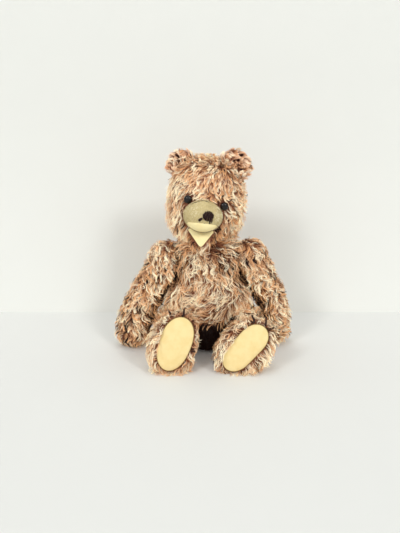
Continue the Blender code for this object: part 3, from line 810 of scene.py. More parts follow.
@dataclass(frozen=True)
class Comb:
    """How the pile stands round one place, in mm from the bear's middle."""

    place: Triple
    reach: float
    lay: Triple
    length: float = 12.0
    paleness: float = 0.5
    warmth: float = 0.5
    lift: float = 0.35
    curl: float = 1.0
    thickness: float = 1.0
    facing: Triple | None = None
    strength: float = 1.0

    FACING_SLOPE, FACING_LOSS = 2.4, 0.9

    def share(self, points: Array, normals: Array) -> Array:
        """Tells how much the comb counts at points of a skin.

        Args:
            points: The points.
            normals: The skin's normals there.

        Returns:
            The comb's weight at each point.
        """
        gap = np.linalg.norm(points - in_frame(self.place), axis=1) / (self.reach * MM)
        share = self.strength * np.exp(-(gap**2))
        if self.facing is None:
            return share
        turned = normals @ unit(np.array(self.facing, float))
        return share * np.clip(turned * self.FACING_SLOPE - self.FACING_LOSS, 0, 1)


@dataclass(frozen=True)
class Clearing:
    """A space that hair stays out of: an outline pushed out along an axis, from a low to a high height.

    Hair that would cross it is moved to its edge, or left out where the space cuts.
    """

    frame: Matrix
    outline: Array
    low: float
    high: float
    cuts: bool = False

    ROOT_DEPTH_MM = 7.0
    RAGGED = 0.06
    RAGGED_MIDDLE = 0.55

    def local(self, points: Array, depth: float = 0.0) -> tuple[Array, Array, Array, Array]:
        """Measures points in the space's own frame.

        Args:
            points: The points, in any shape that ends in 3.
            depth: How far below its low end the space still counts.

        Returns:
            Their own places, how far each is from the axis, how far the outline is that way, and which are inside.
        """
        local = (points - np.array(self.frame.translation)) @ np.array(self.frame.to_3x3())
        reach = reach_at(self.outline, np.arctan2(local[..., 1], local[..., 0]))
        radius = np.hypot(local[..., 0], local[..., 1])
        inside = (radius < reach) & (local[..., 2] > self.low - depth) & (local[..., 2] < self.high)
        return local, radius, reach, inside

    def under(self, roots: Array) -> Array:
        """Tells which roots the space covers, a little below it too."""
        return self.local(roots, self.ROOT_DEPTH_MM * MM)[3]

    def holds(self, points: Array) -> Array:
        """Tells which points are inside the space."""
        return self.local(points)[3]

    def push_out(self, points: Array, rng: Chance) -> Array:
        """Moves points inside the space out to its edge.

        Args:
            points: The points, in any shape that ends in 3.
            rng: The source of a little raggedness.

        Returns:
            The moved points.
        """
        local, radius, reach, inside = self.local(points)
        ragged = 1 + self.RAGGED * (rng.random(points.shape[:-1]) - self.RAGGED_MIDDLE)
        local[..., :2] *= np.where(inside, reach * ragged / np.maximum(radius, 1e-6), 1.0)[..., None]
        return placed(local, self.frame)


class Hair:
    """A mesh of hairs, each a narrow ribbon that tapers to its tip."""

    CARRIED = ("along", "paleness", "warmth")
    SHADES = 8  # how many steps of paleness there are, and of warmth
    TAPER = 0.72
    HALF_COLUMN = 0.3  # half of a ribbon's width on the map, in columns
    MAP_LOW, MAP_TALL = 0.02, 0.96

    def __init__(self, paths: Array, across: Array, width: Array, paleness: Array, warmth: Array) -> None:
        """Takes the hairs' middle lines, the directions of their width, and what each one carries.

        Args:
            paths: The middle lines, by hair, step and axis.
            across: The direction of their width at each step.
            width: Each hair's width.
            paleness: How pale each hair is.
            warmth: How warm each hair is.
        """
        self.paths, self.across, self.width = paths, across, width
        self.paleness, self.warmth = (
            np.clip(np.round(values * self.SHADES - 0.5), 0, self.SHADES - 1)[:, None, None]
            for values in (paleness, warmth)
        )

    def object(self, name: str, material: Material) -> Thing:
        """Builds the mesh, whose map lays hairs of one colour over each other from root to tip.

        Args:
            name: The object's name.
            material: The hairs' material.

        Returns:
            The object.
        """
        count, rings = self.paths.shape[:2]
        along = np.linspace(0, 1, rings)
        half = 0.5 * self.width[:, None, None] * (1 - self.TAPER * along**2)[None, :, None] * self.across
        points = np.stack([self.paths - half, self.paths + half], 2).reshape(-1, 3)
        hair, ring = np.meshgrid(np.arange(count), np.arange(rings - 1), indexing="ij")
        low = (hair * rings + ring) * 2
        quads = np.stack([low, low + 1, low + 3, low + 2], -1).reshape(-1, 4)
        mesh = bpy.data.meshes.new(name)
        mesh.vertices.add(len(points))
        mesh.vertices.foreach_set("co", points.astype(np.float32).ravel())
        mesh.loops.add(quads.size)
        mesh.loops.foreach_set("vertex_index", quads.astype(np.int32).ravel())
        mesh.polygons.add(len(quads))
        mesh.polygons.foreach_set("loop_start", np.arange(0, quads.size, 4, dtype=np.int32))
        mesh.update(calc_edges=True)
        mesh.validate()
        each = np.ones((count, rings, 2))
        height = along[None, :, None] * each
        shade, warmth = ((values + 0.5) / self.SHADES * each for values in (self.paleness, self.warmth))
        carry(mesh, dict(zip(self.CARRIED, (height, shade, warmth))))
        column = self.warmth * self.SHADES + self.paleness + 0.5 + np.array((-1, 1)) * self.HALF_COLUMN
        flat_map = np.stack([column / self.SHADES**2 * each, self.MAP_LOW + self.MAP_TALL * height], -1)
        flat_map = flat_map.reshape(-1, 2)[quads.ravel()]
        mesh.uv_layers.new(name="OFBake").data.foreach_set("uv", flat_map.astype(np.float32).ravel())
        mesh.shade_smooth()
        return new_object(name, mesh, material)


@dataclass
class Coat:
    """A coat of hairs that grow on a skin in wavy locks, combed by the given combs."""

    name: str
    body: Body
    hairs: int
    base: Comb
    combs: tuple[Comb, ...]
    dye: Material
    slot: Slot = Slot.PILE
    width_mm: float = 0.62
    lock_mm: float = 3.3
    rings: int = 7
    wave_mm: float = 2.3
    away_from: Triple | None = None
    bare_near: tuple[str, ...] = ()
    bare_mm: float = 1.3
    clearings: tuple[Clearing, ...] = ()
    seed: int = 1

    COMBED = ("length", "paleness", "warmth", "lift", "curl", "thickness")
    BASE_SHARE = 0.12
    CLUMP_MM = 8.0
    WAVE_LENGTH_MM = 13.0
    SIDE_WAVE = 0.55  # how deep the wave off the skin is, over the wave along it
    SWIRL, OWN_SWIRL = 0.4, 0.12
    DROOP = 0.12
    FLYAWAY_SHARE = 0.05
    PALENESS_SPREAD = (0.1, 0.26, 0.06)  # from clump to clump, lock to lock and hair to hair
    WARMTH_SPREAD = (0.12, 0.14, 0.05)
    CLUMPING = 0.25
    LOCK_SWIRL = 0.7
    LOCK_LENGTHS, OWN_LENGTHS = (0.72, 1.18), (0.85, 1.1)
    WIDTHS, OWN_FACING = (0.7, 1.25), 0.35
    RISE, RISES, LOOSE_RISE, RISE_LIMITS = 2.2, (0.75, 1.2), 0.5, (0.05, 1.45)  # how steep the roots stand
    TIP_RISE, TIP_FALL = 0.25, 0.12
    STANDING, STANDS_FROM = 1.5, 0.6  # how a lift past the second number holds the tips up
    BEND = 1.3
    WAVES, WAVE_EASE = (0.5, 1.35), 1.6
    PULLS, PULL_TO, PULL_BEND = (0.45, 0.85), 0.9, 1.2  # how far hairs draw in to their lock, and where along them
    CLUMPS_FROM = 0.15
    CURL_CHANCE, CURL_CHANCE_LIMITS = (0.2, 0.85), (0.4, 1.2)  # curlier pile is of more mixed colours
    GROUND_MM, GROUND_FACING = 1.0, -0.6  # skin that lies this low and faces this far down grows no hair
    BOX_RAGGED_MM = (1.5, 1.5, 0.9)

    def combed(self, points: Array, normals: Array) -> dict[str, Array]:
        """Blends the combs at points of the skin.

        Args:
            points: The points.
            normals: The skin's normals there.

        Returns:
            The lay and the other values at each point.
        """
        lay = np.tile(np.array(self.base.lay, float), (len(points), 1))
        if self.away_from is not None:
            lay = lay + unit(points - in_frame(self.away_from))
        total = np.full(len(points), self.BASE_SHARE)
        sums = {name: total * getattr(self.base, name) for name in self.COMBED}
        sums["lay"] = unit(lay) * total[:, None]
        for comb in self.combs:
            share = comb.share(points, normals)
            total = total + share
            sums["lay"] += unit(np.array(comb.lay, float)) * share[:, None]
            for name in self.COMBED:
                sums[name] = sums[name] + share * getattr(comb, name)
        return {name: value / (total[:, None] if value.ndim == 2 else total) for name, value in sums.items()}

    def roots(self, skin: Thing, rng: Chance) -> tuple[Array, Array]:
        """Scatters roots over the skin, thicker where the combs say so.

        Args:
            skin: The skin.
            rng: The source of chance.

        Returns:
            The roots and the normals there.
        """
        mesh = skin.data
        mesh.calc_loop_triangles()
        corners = numbers_of(mesh.loop_triangles, "vertices", np.int32)
        points = points_of(skin)
        normals = numbers_of(mesh.vertex_normals, "vector").astype(float)
        a, b, c = (points[corners[:, i]] for i in range(3))
        area = 0.5 * np.linalg.norm(np.cross(b - a, c - a), axis=1)
        weight = area * self.combed((a + b + c) / 3, unit(normals[corners].sum(1)))["thickness"]
        chosen = rng.choice(len(area), self.hairs, p=weight / weight.sum())
        first, second = rng.random((2, self.hairs))
        flip = first + second > 1
        first, second = np.where(flip, 1 - first, first), np.where(flip, 1 - second, second)
        shares = np.stack([1 - first - second, first, second], -1)[..., None]
        where = (points[corners[chosen]] * shares).sum(1)
        facing = unit((normals[corners[chosen]] * shares).sum(1))
        kept = distances_to(where, self.bare_near, 3 * MM) > self.bare_mm * MM
        kept &= ~((where[:, 2] < self.GROUND_MM * MM) & (facing[:, 2] < self.GROUND_FACING))
        for clearing in self.clearings:
            kept &= ~clearing.under(where)
        return where[kept], facing[kept]

    @staticmethod
    def locks(roots: Array, area: float, size_mm: float, rng: Chance) -> Array:
        """Gathers roots into locks.

        Args:
            roots: The roots.
            area: The skin's area.
            size_mm: How wide the locks are.
            rng: The source of chance.

        Returns:
            For each root, the number of the root that leads its lock.
        """
        per_lock = max(2.0, len(roots) * MM**2 * size_mm**2 / area)
        leaders = np.sort(rng.choice(len(roots), max(1, int(len(roots) / per_lock)), replace=False))
        tree = KDTree(len(leaders))
        for i in leaders:
            tree.insert(Vector(roots[i]), int(i))
        tree.balance()
        return np.array([tree.find(Vector(root))[1] for root in roots])

    def grow(self, skin: Thing) -> Thing:
        """Grows the coat.

        Args:
            skin: The skin that it grows on.

        Returns:
            The coat, riding on its body.
        """
        rng = np.random.default_rng(self.seed)
        area = sum(polygon.area for polygon in skin.data.polygons)
        roots, normals = self.roots(skin, rng)
        leader = self.locks(roots, area, self.lock_mm, rng)
        chief = self.locks(roots, area, self.CLUMP_MM, rng)[leader]
        style = self.combed(roots, normals)
        paths = self.paths(roots, normals, leader, chief, style, rng)
        whole = np.ones(len(roots), bool)
        for clearing in self.clearings:
            if clearing.cuts:
                whole &= ~clearing.holds(paths).any(axis=1)
            else:
                paths = clearing.push_out(paths, rng)
        paths = self.kept_in_box(paths, rng)
        facing = unit(normals + self.OWN_FACING * rng.normal(size=normals.shape))[:, None, :]
        across = unit(np.cross(unit(np.gradient(paths, axis=1)), facing))
        count = len(roots)
        width = self.width_mm * MM * rng.uniform(*self.WIDTHS, count)
        least, more = self.CURL_CHANCE
        mixed = np.clip(least + more * style["curl"], *self.CURL_CHANCE_LIMITS)
        chance = rng.normal(size=(2, count)) * mixed
        paleness, warmth = (
            style[kept] + spread[0] * values[chief] + spread[1] * values[leader] + spread[2] * rng.normal(size=count)
            for kept, spread, values in zip(Hair.CARRIED[1:], (self.PALENESS_SPREAD, self.WARMTH_SPREAD), chance)
        )
        hair = Hair(*(values[whole] for values in (paths, across, width, paleness, warmth)))
        log.info("%s: %d hairs", self.name, whole.sum())
        return on_body(hair.object(self.name, self.dye), self.body)

    def paths(self, roots: Array, normals: Array, leader: Array, chief: Array, style: dict[str, Array],
              rng: Chance) -> Array:
        """Works out each hair's line: it rises, lies over, waves, and draws in to its lock and its clump.

        Args:
            roots: The roots.
            normals: The skin's normals there.
            leader: The number of the root that leads each hair's lock.
            chief: The number of the root that leads each hair's clump.
            style: The combed values.
            rng: The source of chance.

        Returns:
            The lines, hair by hair, ring by ring.
        """
        count = len(roots)
        lay, lift = style["lay"], style["lift"]
        flat = unit(lay - normals * (lay * normals).sum(1, keepdims=True))
        own_turn = rng.normal(size=(3, count))
        turn = self.SWIRL * (own_turn[0][leader] + own_turn[1][chief]) * self.LOCK_SWIRL + self.OWN_SWIRL * own_turn[2]
        turn = turn[:, None]
        flat = flat * np.cos(turn) + np.cross(normals, flat) * np.sin(turn)
        side = np.cross(normals, flat)
        loose = rng.random(count) < self.FLYAWAY_SHARE
        length = style["length"] * MM * rng.uniform(*self.LOCK_LENGTHS, count)[leader]
        length = length * rng.uniform(*self.OWN_LENGTHS, count)
        start = lift * self.RISE * rng.uniform(*self.RISES, count) + self.LOOSE_RISE * loose
        start = np.clip(start, *self.RISE_LIMITS)
        end = self.TIP_RISE * lift - self.TIP_FALL + self.STANDING * np.maximum(lift - self.STANDS_FROM, 0)
        share = np.linspace(0, 1, self.rings)
        angle = start[:, None] * (1 - share) ** self.BEND + end[:, None] * share
        step = (length / (self.rings - 1))[:, None, None]
        run = flat[:, None] * np.cos(angle)[..., None] + normals[:, None] * np.sin(angle)[..., None]
        paths = roots[:, None] + np.concatenate([np.zeros((count, 1, 3)), np.cumsum(run[:, :-1] * step, 1)], 1)
        paths[..., 2] -= self.DROOP * length[:, None] * share**2
        size = (self.wave_mm * MM * style["curl"] * rng.uniform(*self.WAVES, count)[chief])[:, None]
        phase = TURN * (length[:, None] * share / (self.WAVE_LENGTH_MM * MM) + rng.random(count)[chief][:, None])
        ease = np.minimum(1, self.WAVE_EASE * share)
        paths += (size * np.sin(phase) * ease)[..., None] * side[:, None]
        paths += (self.SIDE_WAVE * size * np.cos(phase) * ease)[..., None] * normals[:, None]
        pull = rng.uniform(*self.PULLS, count) * ~loose
        pull = (pull[:, None] * smooth_step(share, 0, self.PULL_TO) ** self.PULL_BEND)[..., None]
        clumping = self.CLUMPING * smooth_step(share, self.CLUMPS_FROM, 1.0)[:, None]
        clumped = paths + clumping * (paths[chief] - paths)
        return paths + pull * (clumped[leader] - paths)

    def kept_in_box(self, paths: Array, rng: Chance) -> Array:
        """Keeps hairs above the floor and inside the room round the frame's own box.

        Args:
            paths: The hairs' lines.
            rng: The source of a little raggedness.

        Returns:
            The lines, moved in where they leave the room.
        """
        low = np.array(CAD_BOX[0]) - BOX_MARGIN
        low[2] = FLOOR_CLEARANCE
        low = low + rng.random(paths.shape[:2])[..., None] * np.array(self.BOX_RAGGED_MM) * MM
        return np.clip(paths, low, np.array(CAD_BOX[1]) + BOX_MARGIN)


# ---- felt and thread -------------------------------------------------------------------------------------------


@dataclass
class FeltPad:
    """A felt pad over a flat CAD node: a crowned face with a rolled, puckered edge, and a seam round it."""

    name: str
    body: Body
    node: str
    away_from: str
    finish: Material
    crown_mm: float = 1.4
    rise_mm: float = 0.35
    pucker_mm: float = 0.16
    puckers: int = 34
    frame: Matrix = field(init=False)
    outline: Array = field(init=False)

    SIDES = 120
    SHARES = (0.03, 0.14, 0.26, 0.38, 0.5, 0.61, 0.71, 0.8, 0.87, 0.93, 0.97, 1.0)
    BACK = ((1.006, -0.35), (0.99, -1.5))  # the rings behind the edge: their share of the outline, and height in mm
    CLEAR_SHARE, CLEAR_BELOW_MM = 0.985, 0.6
    CROWN_BEND, EDGE_ROLL_MM = 2.4, 0.4
    FILL = 0.4
    DENTS = 7
    DENT_WIDTH = 0.22
    SEAM_RADIUS_MM = 0.42
    SEAM_SHARE = 1.015
    SEAM_HEIGHT_MM, SEAM_WOBBLE_MM, SEAM_WAVES = -0.1, 0.12, 37

    def __post_init__(self) -> None:
        """Reads the pad's plane and outline off its node."""
        points = corners_of(self.node)
        middle = points.mean(0)
        normal = np.linalg.svd(points - middle)[2][2]
        inside = points_of(NODES[self.away_from]).mean(0)
        normal = normal if (middle - inside) @ normal > 0 else -normal
        face = points[(points - middle) @ normal > 0]
        right = unit(np.cross((0.0, 0.0, 1.0), normal))
        up = np.cross(normal, right)
        middle = face.mean(0)
        self.frame = Matrix.Translation(middle) @ Matrix((right, up, normal)).transposed().to_4x4()
        flat = np.stack([(face - middle) @ right, (face - middle) @ up], -1)
        self.outline = self.rounded(flat[np.argsort(np.arctan2(flat[:, 1], flat[:, 0]))])

    def rounded(self, corners: Array) -> Array:
        """Resamples a polygon at even angles and rounds its corners.

        Args:
            corners: The polygon.

        Returns:
            The round outline.
        """
        share = np.linspace(0, 1, 40, endpoint=False)[:, None]
        dense = np.concatenate([a + (b - a) * share for a, b in zip(corners, np.roll(corners, -1, 0))])
        angle = angles(self.SIDES, -math.pi)
        reach = reach_at(dense, angle)
        for _ in range(3):
            reach = 0.5 * reach + 0.25 * (np.roll(reach, 1) + np.roll(reach, -1))
        return np.stack([reach * np.cos(angle), reach * np.sin(angle)], -1)

    def at(self, share: float, height: Array) -> Array:
        """Returns a ring at a share of the way out, at heights over the pad's plane."""
        return placed(np.concatenate([self.outline * share, height[:, None]], 1), self.frame)

    def clearing(self, high_mm: float = 26.0) -> Clearing:
        """Returns the space over the pad that hair stays out of."""
        return Clearing(self.frame, self.outline * self.CLEAR_SHARE, -self.CLEAR_BELOW_MM * MM, high_mm * MM)

    def build(self) -> Thing:
        """Builds the pad and returns it, riding on its body.

        Returns:
            The pad.
        """
        rng = np.random.default_rng(sum(map(ord, self.name)))
        angle = angles(self.SIDES)
        dents = [(rng.uniform(0, TURN), rng.uniform(0.2, 0.8), rng.uniform(0.1, 0.3)) for _ in range(self.DENTS)]
        rows = []
        for share in self.SHARES:
            height = self.crown_mm * (1 - share**self.CROWN_BEND) + self.rise_mm - self.EDGE_ROLL_MM * share**14
            height = height - self.pucker_mm * share**8 * np.abs(np.sin(angle * self.puckers / 2))
            for toward, at, depth in dents:
                gap = np.hypot(share * np.cos(angle) - at * np.cos(toward), share * np.sin(angle) - at * np.sin(toward))
                height = height - depth * np.exp(-((gap / self.DENT_WIDTH) ** 2))
            rows.append(self.at(share, height * MM))
        rows += [self.at(share, np.full(self.SIDES, height * MM)) for share, height in self.BACK]
        pad = lofted(self.name, np.array(rows), self.finish)
        return on_body(pad, self.body, (self.node,))

    def seam(self, thread: Material) -> Thing:
        """Lays the dark seam that shows round the pad's edge.

        Args:
            thread: The seam's material.

        Returns:
            The seam, riding on the pad's body.
        """
        wobble = self.SEAM_WOBBLE_MM * np.sin(np.linspace(0, TURN * self.SEAM_WAVES, self.SIDES, endpoint=False))
        path = self.at(self.SEAM_SHARE, (self.SEAM_HEIGHT_MM + wobble) * MM)
        cord = Yarn.build(self.name + "_seam", path, self.SEAM_RADIUS_MM, thread, loop=True, sides=6)
        return on_body(cord, self.body)


class Yarn:
    """A round thread along a line."""

    CARRIED = ("length", "angle")
    HINT = np.array((0.31, 0.87, 0.39))  # a direction that no thread runs in, which its first side is near

    @classmethod
    def build(cls, name: str, path: Array, radius_mm: float | Array, material: Material, loop: bool = False,
              sides: int = 8) -> Thing:
        """Builds the thread.

        Args:
            name: The object's name.
            path: The points that it follows.
            radius_mm: Its radius, or one for each point.
            material: Its material.
            loop: Whether it closes on itself.
            sides: How many sides it has.

        Returns:
            The thread.
        """
        path = np.asarray(path, float)
        along = unit(np.roll(path, -1, 0) - np.roll(path, 1, 0) if loop else np.gradient(path, axis=0))
        first = unit(cls.HINT - along * (along @ cls.HINT)[:, None])
        second = np.cross(along, first)
        angle = angles(sides)
        radius = np.broadcast_to(np.asarray(radius_mm, float), (len(path),))[:, None, None] * MM
        round_it = first[:, None] * np.cos(angle)[None, :, None] + second[:, None] * np.sin(angle)[None, :, None]
        steps = np.linalg.norm(np.diff(path, axis=0), axis=1)
        length = np.repeat(np.concatenate([[0], np.cumsum(steps)])[:, None], sides, 1)
        carried = dict(zip(cls.CARRIED, (length, np.repeat(angle[None], len(path), 0))))
        return lofted(name, path[:, None] + radius * round_it, material, loop, carried)

    @staticmethod
    def smoothed(points: Array, count: int) -> Array:
        """Draws a smooth line through a few points.

        Args:
            points: The points.
            count: How many points the line has.

        Returns:
            The line.
        """
        points = np.asarray(points, float)
        where = np.linspace(0, len(points) - 1, count)
        line = np.stack([np.interp(where, np.arange(len(points)), points[:, i]) for i in range(3)], -1)
        for _ in range(2):
            line[1:-1] = 0.5 * line[1:-1] + 0.25 * (line[2:] + line[:-2])
        return line

    @staticmethod
    def rounded_ends(radius_mm: float, count: int) -> Array:
        """Returns a thread's radii, which shrink over its last few points."""
        share = np.abs(2 * np.linspace(0, 1, count) - 1)
        return radius_mm * np.clip(np.sqrt(np.clip(1 - share**6, 0, 1)), 0.25, 1)


@dataclass
class Claw:
    """One long claw stitch, laid on a skin along its node."""

    node: str
    body: Body
    thread: Material
    skin: Thing
    lifts_mm: tuple[float, float]

    RADIUS_MM = 1.15
    BARE_MM = 1.2
    BARE_PAST_MM = 3.0
    BARE_HEIGHT_MM = (2.0, 15.0)

    def line(self) -> Array:
        """Returns the node's middle line, from its front end.

        Returns:
            The line's points.
        """
        points = corners_of(self.node)
        middle = points.mean(0)
        along = (points - middle) @ np.linalg.svd(points - middle)[2][0]
        line = np.array([part.mean(0) for part in np.array_split(points[np.argsort(along)], 5)])
        line = Yarn.smoothed(line, 14)
        return line if line[0][1] < line[-1][1] else line[::-1]

    def build(self) -> Clearing:
        """Builds the stitch, riding on its body, and returns the space over it that hair stays out of.

        Returns:
            The space.
        """
        tree = tree_of(self.skin.data)
        laid = []
        line = self.line()
        for point, lift in zip(line, np.linspace(*self.lifts_mm, len(line))):
            place, normal, _, _ = tree.find_nearest(Vector(point))
            laid.append(np.array(place + normal * (self.RADIUS_MM + lift) * MM))
        path = Yarn.smoothed(np.array(laid), 18)
        stitch = Yarn.build(self.node + "_thread", path, Yarn.rounded_ends(self.RADIUS_MM, len(path)), self.thread)
        on_body(stitch, self.body, (self.node,))
        middle, normal, _, _ = tree.find_nearest(Vector(path[len(path) // 2]))
        along = Vector(path[-1] - path[0])
        along -= normal * along.dot(normal)
        side = normal.cross(along).normalized()
        turn = Matrix((along.normalized(), side, along.normalized().cross(side))).transposed()
        outline = oval(along.length / 2 + self.BARE_PAST_MM * MM, self.BARE_MM * MM, 40)
        low, high = (height * MM for height in self.BARE_HEIGHT_MM)
        return Clearing(Matrix.Translation(middle) @ turn.to_4x4(), outline, low, high, cuts=True)


# ---- the face --------------------------------------------------------------------------------------------------


@dataclass
class Face:
    """The face's own frame, level with its eyes, and what is sewn on the muzzle.

    Places on it are in mm, right of and above the head's middle.
    """

    muzzle: Thing
    felt: Material
    thread: Material
    middle_mm: Triple = (-3.0, 0.0, 199.0)
    roll_degrees: float = 5.0
    nose_mm: tuple[float, float, float, float] = (2.4, -12.6, 6.4, 6.1)
    nose_threads: int = 15
    nose_padding: tuple[float, ...] = (-0.55, 0.0, 0.55)
    nose_crown_mm: float = 1.9
    leg_threads: tuple[int, int] = (9, 13)
    leg_drop_mm: float = 3.6
    stitch_mm: tuple[tuple[float, float], ...] = ((-3.4, -14.8), (-5.4, -16.2), (-7.2, -17.6), (-8.4, -18.8))
    hole_mm: tuple[float, float] = (-1.4, -21.2)
    lip_mm: tuple[float, float, float, float] = (-3.9, -28.2, 17.4, 7.2)
    edge_inset_mm: float = 1.0
    edge_radius_mm: float = 0.5
    lip_tilt_degrees: float = 32.0
    lip_thickness_mm: float = 1.1

    FRONT_MM = -95.0
    LIP_FRONT_MM = -64.0
    NOSE_REACH, NOSE_ROUND, NOSE_SLANT = 0.94, 0.96, 0.05
    NOSE_RADIUS_MM, STITCH_RADIUS_MM, STUB_RADIUS_MM = 0.5, 1.6, 0.65
    LIP_SHARES = (0.04, 0.2, 0.36, 0.52, 0.66, 0.78, 0.88, 0.95, 1.0)
    FORWARD = Matrix.Rotation(math.radians(90), 4, "X")  # a turn that points Z to the front

    def __post_init__(self) -> None:
        """Works out the frame and a search tree of the muzzle."""
        turn = Matrix.Rotation(math.radians(self.roll_degrees), 4, "Y")
        self.frame = Matrix.Translation(in_frame(self.middle_mm)) @ turn
        self.tree = tree_of(self.muzzle.data)

    def hit(self, x: float, z: float) -> tuple[Vector, Vector] | None:
        """Finds the muzzle's front.

        Args:
            x: How far right of the head's middle.
            z: How far above it.

        Returns:
            The place and the surface's normal, or none beside the muzzle.
        """
        start = self.frame @ (Vector((x, self.FRONT_MM, z)) * MM)
        place, normal, _, _ = self.tree.ray_cast(start, self.frame.to_3x3() @ Vector((0, 1, 0)))
        return None if place is None else (place, normal)

    def on_muzzle(self, x: float, z: float, lift_mm: float) -> Array:
        """Finds a point on the muzzle's front, lifted off the surface."""
        place, normal = self.hit(x, z)
        return np.array(place + normal * lift_mm * MM)

    def sewn(self, name: str, paths: Sequence[Array], radius_mm: float, nodes: Sequence[str] = ()) -> Thing:
        """Joins several threads into one piece on the head.

        Args:
            name: The piece's name.
            paths: The threads' lines.
            radius_mm: The threads' radius.
            nodes: The CAD nodes that it stands for.

        Returns:
            The piece.
        """
        threads = [Yarn.build(name, path, Yarn.rounded_ends(radius_mm, len(path)), self.thread) for path in paths]
        first, *others = threads
        store(merged(thread.data for thread in threads), first.data)
        for thread in others:
            bpy.data.objects.remove(thread)
        return on_body(first, Body.HEAD, nodes)

    def nose(self) -> Thing:
        """Stitches the nose: upright threads side by side over a pad, with a leg at its lower right.

        Returns:
            The nose.
        """
        x, z, half_w, half_h = self.nose_mm
        paths = []
        for i in range(self.nose_threads):
            across = -self.NOSE_REACH + 2 * self.NOSE_REACH * i / (self.nose_threads - 1)
            tall = half_h * math.sqrt(1 - across**2 * self.NOSE_ROUND)
            drop = self.leg_drop_mm if self.leg_threads[0] <= i <= self.leg_threads[1] else 0.0
            heights = np.linspace(tall, -tall - drop, 16)
            radius = np.clip(across**2 + (heights / half_h) ** 2, 0, 1)
            lifts = self.NOSE_RADIUS_MM + self.nose_crown_mm * (1 - radius)
            slant = self.NOSE_SLANT * (i % 3 - 1)
            paths.append(np.array([self.on_muzzle(x + across * half_w + slant * h, z + h, lift)
                                   for h, lift in zip(heights, lifts)]))
        heights = np.linspace(half_h * 0.8, -half_h * 0.8, 12)
        for across in self.nose_padding:
            paths.append(np.array([self.on_muzzle(x + across * half_w, z + h, self.NOSE_RADIUS_MM) for h in heights]))
        return self.sewn("nose_thread", paths, self.NOSE_RADIUS_MM, ("nose_stitching",))

    def stitches(self) -> None:
        """Lays the worn end of the mouth stitch, and the stub in an empty stitch hole."""
        path = Yarn.smoothed([self.on_muzzle(x, z, 0.55) for x, z in self.stitch_mm], 16)
        knot = np.linspace(path[-5], path[-1] + (path[-1] - path[-3]) * 0.2, 6)
        beside = np.array((0.7, -0.5, 0.5)) * MM
        self.sewn("mouth_thread", [path[2:], knot, knot + beside], self.STITCH_RADIUS_MM, ("mouth_stitch",))
        x, z = self.hole_mm
        stub = np.array([self.on_muzzle(x + aside, z, 0.2) for aside in (-0.5, 0.0, 0.5)])
        self.sewn("stitch_stub", [stub], self.STUB_RADIUS_MM)

    def edge_seam(self, name: str, reach_mm: tuple[float, float], from_mm: float, lift_mm: float) -> Thing:
        """Lays a dark thread along the muzzle's upper or lower edge: a seam at the upper edge, and at the lower edge a
        painted shade line in the gap over the jaw.

        Args:
            name: The piece's name.
            reach_mm: Where it starts and ends across the face.
            from_mm: A height beyond the edge.
            lift_mm: How far it stands off the muzzle.

        Returns:
            The seam.
        """
        middle = self.nose_mm[1]
        step = math.copysign(0.25, middle - from_mm)
        path = []
        for x in np.linspace(*reach_mm, 22):
            edge = next(z for z in np.arange(from_mm, middle, step) if self.hit(x, z) is not None)
            path.append(self.on_muzzle(x, edge + math.copysign(self.edge_inset_mm, step), lift_mm))
        return self.sewn(name, [Yarn.smoothed(path, 44)], self.edge_radius_mm)

    def lip(self) -> Thing:
        """Lays the felt lip over the muzzle's underside.

        Returns:
            The lip.
        """
        x, z, half_w, half_h = self.lip_mm
        turn = self.frame.to_3x3()
        tilt = math.radians(self.lip_tilt_degrees)
        right, up, inward = (turn @ Vector(axis) for axis in ((1, 0, 0), (0, 0, 1), (0, 1, 0)))
        lip_up = up * math.cos(tilt) - inward * math.sin(tilt)
        lip_in = inward * math.cos(tilt) + up * math.sin(tilt)
        start = self.frame @ (Vector((x, self.LIP_FRONT_MM, z)) * MM) - lip_in * 15 * MM
        rows, under = [], []
        for share in self.LIP_SHARES:
            thick = 0.15 + self.lip_thickness_mm * (1 - 0.5 * share**10)
            over, below = [], []
            for angle in angles(72):
                wide = right * half_w * share * math.cos(angle) * MM
                place, normal, _, _ = self.tree.ray_cast(
                    start + wide + lip_up * half_h * share * math.sin(angle) * MM, lip_in)
                over.append(place + normal * thick * MM)
                below.append(place + normal * 0.1 * MM)
            rows.append(over)
            under.append(below)
        lip = lofted("lip", np.array(rows + under[::-1]), self.felt)
        return on_body(lip, Body.HEAD, ("lip_felt",))

    def oval_clearing(self, x: float, z: float, half_w: float, half_h: float, low: float, high: float) -> Clearing:
        """Returns an oval space in front of the face that hair stays out of."""
        frame = self.frame @ Matrix.Translation(Vector((x, 0, z)) * MM) @ self.FORWARD
        return Clearing(frame, oval(half_w, half_h, 96) * MM, low * MM, high * MM)


